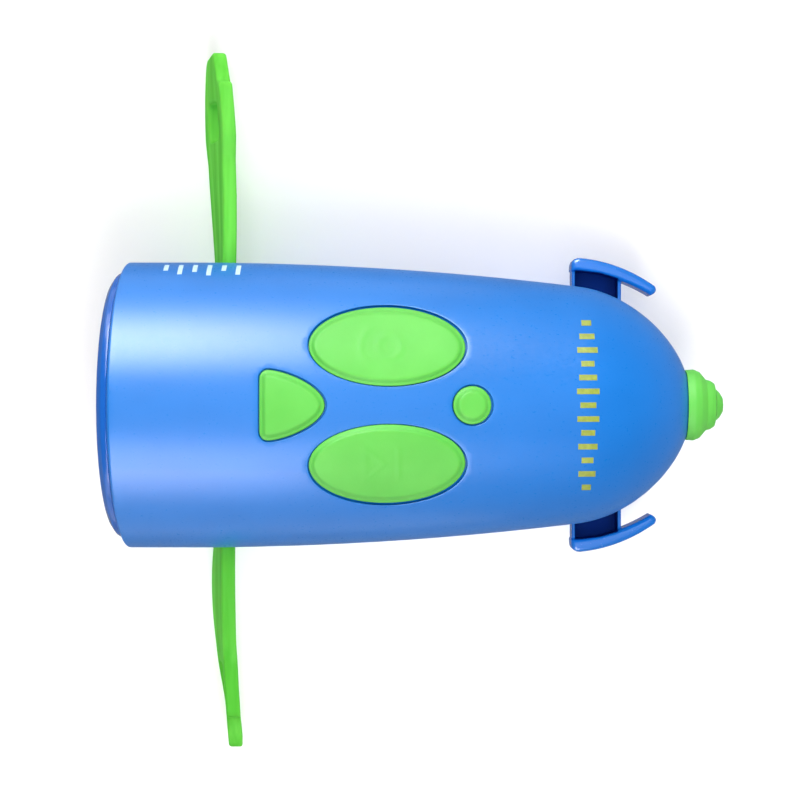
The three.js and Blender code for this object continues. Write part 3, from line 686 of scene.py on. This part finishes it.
def key_ring(points, outline, grow, offset, drop):
    """Points along a key's outline, grown by grow, that lie drop under the surface at an offset."""
    ring = outline + outward(outline) * grow
    z = height(ring[:, 0], ring[:, 1], offset) - drop
    first = len(points)
    points += np.column_stack([ring, z]).tolist()
    return list(range(first, len(points)))


def opening_of(outline):
    """A key's opening, before its gap is added: it sits a little off the key."""
    return outline + [KEY_SHIFT * np.sign(round(outline[:, 0].mean())), KEY_SHIFT / 2]


def upper_shell(material):
    points, faces = [], []
    outer_rings, inner_rings = [], []
    for outline in KEYS.values():
        opening = opening_of(outline)
        rings = []
        for turn in np.radians((0, 30, 60, 90)):
            grow, drop = KEY_GAP + RIM * (1 - math.sin(turn)), RIM * (1 - math.cos(turn))
            rings.append(key_ring(points, opening, grow, 0, drop))
        rings.append(key_ring(points, opening, KEY_GAP, -LEDGE, 0))
        rings.append(key_ring(points, outline, LEDGE_GAP, -LEDGE, 0))
        rings.append(key_ring(points, outline, LEDGE_GAP, -WALL, 0))
        faces += bands(rings)
        outer_rings.append(rings[0])
        inner_rings.append(rings[-1])
    outer = shell_grid(0, LIP, TAIL_HOLE_R + RIM) + tail_edge()
    outer_faces, out = opened_grid(outer, outer_rings, points)
    inner = shell_grid(-WALL, ((0, 0),), TAIL_HOLE_R)
    inner_faces, inn = opened_grid(inner, inner_rings, points)
    faces += outer_faces + inner_faces
    columns = range(COLUMNS + 1)
    for out_row, in_row in ((0, 0), (len(outer) - 1, len(inner) - 1)):
        faces += bands([[out(out_row, c) for c in columns], [inn(in_row, c) for c in columns]], closed=False)
    for column in (0, COLUMNS):
        outside = [out(r, column) for r in range(len(outer))]
        within = [inn(r, column) for r in range(len(inner))]
        faces += stitch(points, outside, within)
    make("upper_shell", points, faces, material, ("upper_housing",), sharp=50)


def stitch(points, first, second):
    """Triangles between two open lines of point numbers that run side by side."""
    faces, i, j = [], 0, 0
    while i < len(first) - 1 or j < len(second) - 1:
        ahead = points[first[i + 1]][1] if i < len(first) - 1 else math.inf
        other = points[second[j + 1]][1] if j < len(second) - 1 else math.inf
        if ahead <= other:
            faces.append((first[i], first[i + 1], second[j]))
            i += 1
        else:
            faces.append((first[i], second[j + 1], second[j]))
            j += 1
    return faces


# ---- Keys ----

# From the foot to the flat top: how far outside the outline, and how far over the shell's surface.
KEY_PROFILE = ((1.2, -3.3), (1.2, -2.3), (0.03, -2.3), (0.03, -0.12), (0, 0.02), (-0.03, 0.1), (-0.1, 0.15),
               (-0.3, 0.21), (-0.42, 0.28), (-0.54, 0.4), (-0.66, 0.53), (-0.76, 0.63), (-0.86, 0.7),
               (-0.96, KEY_PROUD))
KEY_GRID = 0.32
RELIEF = 0.06


def stroke(distance, width):
    """A soft raised line: 1 on the line, 0 beyond its width."""
    t = np.clip(1 - np.abs(distance) / width, 0, 1)
    return t * t * (3 - 2 * t)


def key_relief(name, u, v):
    """Faint generic marks: a ring with a wave on one long key, a bar and a wedge on the other."""
    if name == "right":
        wave = stroke(np.hypot(u, v + 0.8) - 3.1, 0.7) * np.clip(-v - 1.6, 0, 1)
        return np.maximum(stroke(np.hypot(u, v - 0.4) - 1.7, 0.9), wave)
    if name == "left":
        bar = stroke(v - 1.7, 0.55) * np.clip(3 - np.abs(u), 0, 1)
        return np.maximum(bar, 0.8 * stroke(np.maximum(np.abs(u) * 1.2 + v + 0.4, -v - 3.2), 0.8))
    return 0 * u


def key_piece(name, outline, material):
    """A soft key: a foot under the shell, a thin rim at its surface and a raised top that follows it."""
    points = []
    rings = [key_ring(points, outline, grow, rise, 0) for grow, rise in KEY_PROFILE]
    faces = bands(rings)
    centre = outline.mean(axis=0)
    grid = plan_grid(outline, KEY_GRID)
    edge = np.array([points[n][:2] for n in rings[-1]])
    grid = grid[inside(grid, edge) & clear_of(grid, edge, 0.6 * KEY_GRID)]
    relief = RELIEF * key_relief(name, grid[:, 0] - centre[0], grid[:, 1] - centre[1])
    loose = range(len(points), len(points) + len(grid))
    points += np.column_stack([grid, height(grid[:, 0], grid[:, 1], KEY_PROUD) + relief]).tolist()
    flat = {n: points[n][:2] for n in [*rings[-1], *loose]}
    faces += fill(flat, [rings[-1]], [], loose)
    points.append((*centre, float(height(centre[0], centre[1], KEY_PROFILE[0][1]))))
    foot = rings[0]
    faces += [(foot[i], foot[i - 1], len(points) - 1) for i in range(len(foot))]
    make(f"{name}_key_cap", points, faces, material, (f"{name}_button",), 55, f"{name}_key")


# ---- Solids from distance fields ----

def blend_out(a, b, k):
    """The union of two fields, with a fillet of about k between them."""
    h = np.clip(0.5 + 0.5 * (b - a) / k, 0, 1)
    return b + (a - b) * h - k * h * (1 - h)


def blend_in(a, b, k):
    """The intersection of two fields, with its edge rounded by about k."""
    return -blend_out(-a, -b, k)


def carve(a, b, k=0.25):
    """Field a with b taken out of it."""
    return blend_in(a, -b, k)


def box_field(x, y, z, low, high, radius=0.0):
    """A box with rounded edges."""
    parts = [np.abs(v - (a + b) / 2) - ((b - a) / 2 - radius) for v, a, b in zip((x, y, z), low, high)]
    outside = np.sqrt(sum(np.maximum(part, 0) ** 2 for part in parts))
    within = np.minimum(np.maximum(np.maximum(parts[0], parts[1]), parts[2]), 0)
    return outside + within - radius


def rod_field(x, y, z, at, radius, low, high):
    """An upright round bar."""
    level = np.abs(z - (low + high) / 2) - (high - low) / 2
    return np.maximum(np.hypot(x - at[0], y - at[1]) - radius, level)


def body_field(x, y, z, offset=0.0):
    """The whole body's solid, nearly as a distance."""
    across = np.hypot(x, z - AXIS_Z)
    shank = shank_radius(y, offset)
    length = NOSE_LENGTH + offset
    along = np.maximum(0, y - NOSE_FROM_Y) / length
    share = np.sqrt((across / shank) ** 2 + along ** 2) + 1e-9
    slope = np.sqrt((across / shank ** 2) ** 2 + (along / length) ** 2) + 1e-9
    return (share - 1) * share / slope


def outline_field(u, v, loop):
    """The distance to a closed loop, negative inside it."""
    near = np.full(np.broadcast(u, v).shape, np.inf)
    sign = np.ones_like(near)
    for (ax, ay), (bx, by) in zip(loop, np.roll(loop, -1, axis=0)):
        ex, ey = bx - ax, by - ay
        wx, wy = u - ax, v - ay
        t = np.clip((wx * ex + wy * ey) / (ex * ex + ey * ey), 0, 1)
        near = np.minimum(near, (wx - ex * t) ** 2 + (wy - ey * t) ** 2)
        crosses = ((ay > v) != (by > v)) & (u < ax + (v - ay) * ex / (ey if ey else 1e-12))
        sign = np.where(crosses, -sign, sign)
    return np.sqrt(near) * sign


def thick(flat, level, radius):
    """A prism from a flat field and its field along the third axis, with rounded edges."""
    a, b = flat + radius, level + radius
    outside = np.sqrt(np.maximum(a, 0) ** 2 + np.maximum(b, 0) ** 2)
    return np.minimum(np.maximum(a, b), 0) + outside - radius


def field_mesh(field, low, high, pitch):
    """Points and faces of the surface where a field is zero, settled onto it."""
    axes = [np.arange(a, b + pitch, pitch) for a, b in zip(low, high)]
    x, y, z = axes[0][:, None, None], axes[1][None, :, None], axes[2][None, None, :]
    values = np.broadcast_to(field(x, y, z), [len(axis) for axis in axes]).astype(np.float32)
    grid = openvdb.FloatGrid(float(values.max()))
    grid.copyFromArray(values)
    places, quads = grid.convertToQuads(0.0)
    p = np.array(places, float) * pitch + [axis[0] for axis in axes]
    step = 0.02
    for _ in range(3):
        d = field(*p.T)
        slope = np.stack([(field(*(p + step * e).T) - field(*(p - step * e).T)) / (2 * step)
                          for e in np.eye(3)], axis=1)
        size = np.maximum((slope ** 2).sum(axis=1), 0.25)
        move = -(d / size)[:, None] * slope
        far = np.linalg.norm(move, axis=1)
        p += move * np.minimum(1, 0.4 * pitch / np.maximum(far, 1e-9))[:, None]
    return p, quads


# ---- Lower shell ----

PLINTH_LOW, PLINTH_HIGH, PLINTH_TOP = (-15.5, -37), (15.5, 32.6), 12
HOUSING_SCREWS = (((14.2, -35), 6.2), ((7.2, 35.5), 14.6))  # the left one's place, and its head's seat
DOOR_SCREW = (0, 27)


def plinth_field(x, y, z):
    flat = box_field(x, y, 0 * x, (*PLINTH_LOW, -50), (*PLINTH_HIGH, 50), 4)
    return thick(flat, np.abs(z - PLINTH_TOP / 2) - PLINTH_TOP / 2, 0.7)


def front_trim(x, y, z):
    """Behind the raked front plane, with the shell's sloping lip."""
    behind = (y - FRONT_Y) * math.cos(RAKE) + (z - AXIS_Z) * math.sin(RAKE)
    across = np.hypot(x, z - AXIS_Z)
    lip = (across - (BODY_R - 1.5)) * 0.3 - behind * 0.954
    return blend_in(-behind, lip, 0.15)


def door_outline(grow):
    """The battery door's section, in Y and Z: flat on the rest plane, arched over the saddle."""
    hinge, rear, thickness, arch_top = -24, 29.2, 2, 1.6
    under, over, top = SADDLE_R - grow, SADDLE_R + arch_top + grow, thickness + grow
    lean = lambda radius, z: math.degrees(math.asin((z - SADDLE_Z) / radius))
    return np.vstack([
        [[hinge, -grow]],
        arc((SADDLE_Y, SADDLE_Z), under, 180 - lean(under, -grow), lean(under, -grow), 40),
        [[rear + grow, -grow], [rear + grow, top]],
        arc((SADDLE_Y, SADDLE_Z), over, lean(over, top), 180 - lean(over, top), 40),
        arc((hinge, thickness / 2), thickness / 2 + grow, 90, 270, 8),
    ])


def lower_field(x, y, z):
    """The lower housing: a skin with its tunnel, battery tub and bosses, less what is cut out of it."""
    body = body_field(x, y, z)
    skin = blend_out(body, plinth_field(x, y, z), 1.6)
    skin = np.maximum(blend_in(skin, front_trim(x, y, z), 0.2), -z)
    shell = carve(blend_in(skin, z - SPLIT_LOWER, 0.15), body_field(x, y, z, -WALL), 0.1)
    within = body_field(x, y, z, -WALL / 2)
    tunnel = np.maximum(box_field(x, y, z, (-30, -33, 1), (30, -27.6, 16)), within)
    tub = box_field(x, y, z, (-14.4, -25.5, 1), (14.4, 26.5, 22.1))
    shell = np.minimum(np.minimum(shell, tunnel), tub)
    shell = np.minimum(shell, rod_field(x, y, z, DOOR_SCREW, 3.2, 2, 10))
    for screw, seat in HOUSING_SCREWS:
        boss = rod_field(np.abs(x), y, z, screw, 3.2, 0, SPLIT_LOWER)
        shell = np.minimum(shell, np.maximum(boss, within))
        shell = np.maximum(shell, -rod_field(np.abs(x), y, z, screw, 1.4, 0, 30))
        shell = carve(shell, rod_field(np.abs(x), y, z, screw, 2.5, -2, seat + 1.6))
    door = np.maximum(outline_field(y, z, door_outline(0.35)), np.abs(x) - 13.0)
    shell = carve(shell, door, 0.2)
    shell = carve(shell, box_field(x, y, z, (-11.3, -24, 1), (11.3, 25, 20.6)), 0.2)
    shell = carve(shell, np.hypot(y - SADDLE_Y, z - SADDLE_Z) - SADDLE_R + 0 * x, 0.5)
    shell = np.maximum(shell, -rod_field(x, y, z, DOOR_SCREW, 1.75, 0, 7.3))
    slot_half = STRAP_HALF + 0.2
    slot = box_field(x, y, z, (-40, STRAP_Y - slot_half, 1.6), (40, STRAP_Y + slot_half, 14.6))
    shell = carve(shell, slot, 0.4)
    tail = np.maximum(np.hypot(x, z - AXIS_Z) - TAIL_HOLE_R, 36 - y)
    return carve(shell, tail, 0.3)


def lower_shell(material):
    points, faces = field_mesh(lower_field, (-24, -45, -1.5), (24, 44, 23.5), 0.42)
    make("lower_shell", points, faces, material, ("lower_housing",), sharp=70)


HOOK_FRONT, HOOK_REAR = 24.4, 32.3
HOOK_LOW, HOOK_HIGH = 8.5, 15.5


def pocket_field(x, y, z):
    """The open pocket in the left hook's stem."""
    pocket = box_field(x, y, z, (13.6, HOOK_FRONT + 0.65, 9.0), (21.2, HOOK_REAR - 0.55, 30), 0.2)
    limit = outline_field(x, y, [(8, 20), (21.2, 20), (21.1, 26), (20.75, 29), (19.9, 31.8), (8, 31.8)])
    return np.maximum(pocket, limit + 0 * z)


def hook_field(x, y, z):
    """The left hook: a curved plate that runs back past a boxed stem with an open pocket."""
    plate = np.vstack([
        bezier((21.8, HOOK_FRONT), (23.1, HOOK_FRONT), (23.1, HOOK_FRONT + 1.4), steps=8),
        bezier((23.1, HOOK_FRONT + 1.4), (22.5, 32.1), (18.7, 37.5), steps=14),
        bezier((18.7, 37.5), (17.8, 38.2), (17.2, 36.9), steps=6),
        bezier((17.2, 36.9), (20.5, 31.6), (21.15, HOOK_FRONT), steps=14),
        [(21.15, HOOK_FRONT)],
    ])
    level = np.abs(z - (HOOK_LOW + HOOK_HIGH) / 2) - (HOOK_HIGH - HOOK_LOW) / 2
    blade = thick(outline_field(x, y, plate), level, 0.7)
    stem = box_field(x, y, z, (12, HOOK_FRONT + 0.15, HOOK_LOW), (21.6, HOOK_REAR, HOOK_HIGH - 1.2), 0.25)
    rear_limit = outline_field(x, y, [(8, 20), (21.9, 20), (21.9, 25), (21.2, 30), (19.6, 33), (8, 33)])
    stem = blend_in(stem, rear_limit + 0 * z, 0.2)
    whole = blend_out(blade, stem, 0.3)
    return carve(whole, pocket_field(x, y, z), 0.2)


def side_hooks(material, recess):
    """Both hooks, with painted shade, a dark and rough navy, on the faces in their pockets."""
    points, faces = field_mesh(hook_field, (11.5, 23.5, 7.5), (24, 39, 16.5), 0.2)
    for name, sign in SIDES:
        piece = make(f"{name}_hook", points * [sign, 1, 1], faces, material, sharp=70)
        piece.data.materials.append(recess)
        middle = np.array([face.center for face in piece.data.polygons]) / MM * [sign, 1, 1]
        # Faces on the pocket's floor and walls, below the plate's top, take the painted shade.
        in_pocket = (np.abs(pocket_field(*middle.T)) < 0.12) & (middle[:, 2] < HOOK_HIGH - 1.6)
        for face, painted_shade_face in zip(piece.data.polygons, in_pocket):
            face.material_index = int(painted_shade_face)


# ---- Front: bezel, grille, lens and torch ----

def front_unit(looks):
    bezel = rounded([(16.4, -1.1), (16.9, -1.65), (19.1, -1.75), (20.3, -0.95), (20.5, -0.02), (19.4, -0.02),
                     (19.4, 1.9), (17.5, 1.9), (17.5, -0.08), (16.4, -0.08)],
                    [0.2, 0.5, 0.9, 0.8, 0.12, 0.1, 0.15, 0.15, 0.1, 0.1], 7)
    lens = [(0, -2.3), (2, -2.24), (4, -2.05), (6, -1.62), (7.6, -1.05), (8.6, -0.45), (8.85, -0.1),
            (8.9, 0.3), (8.9, 1.8), (10.2, 1.8), (10.2, 2.8), (0, 2.8)]
    cup = [(10.2, 4.2), (10.2, 5), (9.2, 5), (8.3, 5.9), (6.4, 7), (3.4, 8.2), (2.5, 8.2), (2.5, 7.5),
           (4.2, 7.05), (5.9, 6.2), (7.2, 5.3), (8.2, 4.2)]
    for name, stands_for, slot, profile, segments, sharp in (
            ("bezel_ring", "front_bezel", "gloss_shell", bezel, 192, 50),
            ("lens_dome", "torch_lens", "lens", lens, 128, 35),
            ("reflector_cup", "reflector", "mirror", cup, 96, 35)):
        points, faces = turned(profile, segments)
        make(name, in_front(points), faces, looks[slot], (stands_for,), sharp)
    grille_disc(looks["grille"])


def grille_disc(material):
    """A disc with a ring of sound slots, in its own plane, then turned to face forwards."""
    slots, middle, half = 10, (0, 0), 0.75
    holes = [arc(middle, 9.2, 0, 360, 96)[:-1]]
    for i in range(slots):
        start, end = (i + 0.16) * 360 / slots, (i + 0.84) * 360 / slots
        slot = np.vstack([arc(middle, 15.2, start, end, 10), arc(middle, 11.2, end, start, 8)])
        holes.append(rounded(slot, 0.5, 3))
    points, faces = slab(arc(middle, 17.2, 0, 360, 128)[:-1], holes, half, 0.2, 0.5)
    upright = np.stack([points[:, 0], half - points[:, 2], points[:, 1]], axis=1)
    make("grille_disc", in_front(upright), faces, material, ("grille_plate",), 45)


# ---- Strap ----

STRAP_SEAM = 33.0  # where the near and far stretches of an arm meet
STRAP_ROOT = 20.0
STRAP_TIP = 55.4
ARM_STATIONS = (20, 26, 33, 43, 49, 55)
# At each station: how far the arm leans back at the top, in degrees, how far its middle strays from the
# slot's plane, and how much further out it lies.
ARM_LEAN = {"left": (8, 11.5, 10.5, 7, 5, 3), "right": (8, 12, 12.5, 15, 13, 9)}
ARM_STRAY = {"left": (-0.05, -0.35, -0.3, 0.4, 1.0, 1.6), "right": (0, -0.15, -0.35, -0.85, -1.1, -1.35)}
ARM_REACH = {"left": (0, 0, 0, -0.9, -1.9, -1.2), "right": (0, 0, 0, 0, 0, 0.4)}


def strap_place(side, sign, points):
    """Points of a flat strap, given as distance out, height and thickness, in their place."""
    s, h, w = np.asarray(points, float).T
    lean_curve = np.polyfit(ARM_STATIONS, ARM_LEAN[side], 3)
    stray_curve = np.polyfit(ARM_STATIONS, ARM_STRAY[side], 3)
    out = np.clip((s - 15) / 6, 0, 1)
    ease = out * out * (3 - 2 * out)
    lean = np.radians(np.polyval(lean_curve, np.maximum(s, 18))) * ease
    stray = np.polyval(stray_curve, np.maximum(s, 18)) * ease
    y = STRAP_Y + stray + h * np.sin(lean) + w * np.cos(lean)
    z = STRAP_Z + h * np.cos(lean) - w * np.sin(lean)
    return np.stack([sign * (s + np.interp(s, ARM_STATIONS, ARM_REACH[side])), y, z], axis=1)


def strap_arm_outline():
    """The far stretch of an arm: a paddle with a narrower pull tab."""
    root, paddle = STRAP_HEIGHT / 2, 7.5
    top = [(STRAP_SEAM, root), (38.5, root), (42.5, paddle), (50.7, paddle), (50.9, 6.0), (STRAP_TIP, 3.8)]
    bottom = [(STRAP_TIP, -paddle), (42.5, -paddle), (38.5, -root), (STRAP_SEAM, -root)]
    return rounded(top + bottom, [0, 4, 4, 0.7, 0.4, 1.6, 2.2, 4, 4, 0], 6)


def oblong(start, end, tall):
    """A rectangle from start to end along U, and tall to each side of the middle."""
    return np.array([(start, -tall), (end, -tall), (end, tall), (start, tall)])


def strap(material):
    """The band through the body, and on each side a near stretch and a far one."""
    form = STRAP_HALF, 0.45, 0.55
    tall = STRAP_HEIGHT / 2
    points, faces = slab(oblong(-STRAP_ROOT, STRAP_ROOT, tall), [], *form, (-STRAP_ROOT, STRAP_ROOT))
    placed = np.where(points[:, :1] >= 0,
                      strap_place("left", 1, points), strap_place("right", -1, points * [-1, 1, 1]))
    make("strap_band", placed, faces, material, ("strap_centre",), 50)
    hole = rounded(oblong(42.0, 48.1, 3.9), 1.5, 6)
    for side, sign in SIDES:
        points, faces = slab(oblong(STRAP_ROOT, STRAP_SEAM, tall), [], *form, (STRAP_ROOT, STRAP_SEAM))
        piece = make(f"{side}_strap_near", strap_place(side, sign, points), faces, material,
                     (f"{side}_strap_inner",), 50, None)
        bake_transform(piece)
        points, faces = slab(strap_arm_outline(), [hole], *form, (STRAP_SEAM,))
        piece = make(f"{side}_strap_far", strap_place(side, sign, points), faces, material,
                     (f"{side}_strap_outer",), 50, None)
        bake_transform(piece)


# ---- Tail, door, pad, cells and screws ----

def tail_bung(material):
    profile = [(0, 32.5), (1.6, 32.5), (1.6, 41.4), (4, 41.4), (4, 42.02), (5.4, 41.55), (5.5, 42.8),
               (5.1, 43.75), (3.95, 44.7), (3.75, 45.4), (3.35, 46.05), (2.5, 46.25), (1.95, 46.85),
               (1.1, 47.35), (0, 47.5)]
    radii = [0, 0.1, 0.1, 0.1, 0.05, 0.15, 0.6, 0.5, 0.4, 0.5, 0.35, 0.3, 0.35, 0.5, 0]
    points, faces = turned(rounded(profile, radii, 5, closed=False), 96)
    make("tail_bung", shifted(points, z=AXIS_Z), faces, material, ("socket_bung",), 50, "bung")


def battery_cover(looks):
    """The battery door, and the ribbed pad on its arch."""
    points, faces = slab(door_outline(0), [], 12.7, 0.35, 0.6)
    make("battery_cover", across_x(points), faces, looks["shell"], ("battery_door",), 40, "door")
    outside, thickness, ribs, reach = SADDLE_R - GAP, 1.3, 16, 46
    angles = np.radians(np.linspace(-reach, reach, 161))
    wave = outside - thickness + 0.22 * np.cos(angles * ribs * 360 / (2 * reach))
    lower = np.stack([SADDLE_Y + wave * np.sin(angles), SADDLE_Z + wave * np.cos(angles)], axis=1)
    upper = arc((SADDLE_Y, SADDLE_Z), outside, 90 - reach, 90 + reach, 60)
    points, faces = slab(np.vstack([lower, upper]), [], 12.3, 0.25, 0.45)
    make("ribbed_pad", across_x(points), faces, looks["rubber"], ("saddle_pad",), 50, "door")


def cells(material):
    """The two cells, which lie opposite ways round."""
    nub, nub_r = 1.0, 1.9
    for name, sign in SIDES:
        low, high = corners(f"{name}_battery")
        x, z, r = (low[0] + high[0]) / 2, (low[2] + high[2]) / 2, (high[0] - low[0]) / 2
        flat_end, shoulder = (low[1], high[1] - nub) if sign > 0 else (high[1], low[1] + nub)
        tip = shoulder + sign * nub
        profile = [(0, flat_end), (r, flat_end), (r, shoulder), (nub_r, shoulder), (nub_r, tip), (0, tip)]
        points, faces = turned(rounded(profile, [0, 0.35, 0.5, 0.3, 0.4, 0], 5, closed=False), 72)
        make(f"{name}_cell", shifted(points, x, z), faces, material, (f"{name}_battery",), 45)


def prints(looks):
    """Generic marks in ink: a row of level bars across the tail, and a few ticks near the lens."""
    lengths = (1.5, 2.3, 3.1, 2.0, 2.7, 3.4, 2.4, 3.3, 2.1, 2.9, 1.8, 2.6, 1.4)
    bars = []
    for i, length in enumerate(lengths):
        middle = (i - (len(lengths) - 1) / 2) * 2.05
        bars.append((middle - 0.42, middle + 0.42, 25.4 - length / 2, 25.4 + length / 2))
    ink("level_bars", bars, looks["ink_lime"], lambda x, y: np.arcsin(x / body_radius(y)))
    ticks = [(-76, -76 + reach, -38.4 + 2.2 * i, -37.7 + 2.2 * i)
             for i, reach in enumerate((8, 12, 9.5, 13, 8, 12))]
    ink("side_ticks", ticks, looks["ink_white"], lambda x, y: np.radians(x) + 0 * y)


def ink(name, boxes, material, angle_of):
    """Thin patches of ink on the shell, each from low to high across and along. angle_of turns a place
    across and along into an angle from the top."""
    points, faces = [], []
    steps = 7
    for low, high, front, rear in boxes:
        u, v = np.meshgrid(np.linspace(low, high, steps), np.linspace(front, rear, steps))
        rims = []
        for lift in (0.035, -0.05):
            first = len(points)
            points += around_axis(body_radius(v) + lift, angle_of(u, v), v).reshape(-1, 3).tolist()
            sheet = np.arange(first, len(points)).reshape(steps, steps)
            faces += bands(sheet.tolist(), closed=False)
            rims.append([*sheet[0, :-1], *sheet[:-1, -1], *sheet[-1, :0:-1], *sheet[:0:-1, 0]])
        faces += bands(rims)
    make(name, points, faces, material)


def dress_cad_nodes(looks):
    """Gives every CAD node the finish of its slot in the record."""
    for entry in frame["record"]["subparts"]:
        piece = frame["nodes"][entry["node"]]
        if not piece.material_slots:
            piece.data.materials.append(None)
        for place in piece.material_slots:
            place.material = looks[entry["material_slot"]]


# ---- The whole scene ----

looks = make_materials()
add_camera()
add_floor()
add_lights()
dress_cad_nodes(looks)
upper_shell(looks["shell"])
lower_shell(looks["shell"])
side_hooks(looks["satin"], looks["recess"])
for key_name, key_outline in KEYS.items():
    key_piece(key_name, key_outline, looks["silicone"])
front_unit(looks)
strap(looks["strap"])
tail_bung(looks["silicone"])
battery_cover(looks)
cells(looks["can"])
prints(looks)
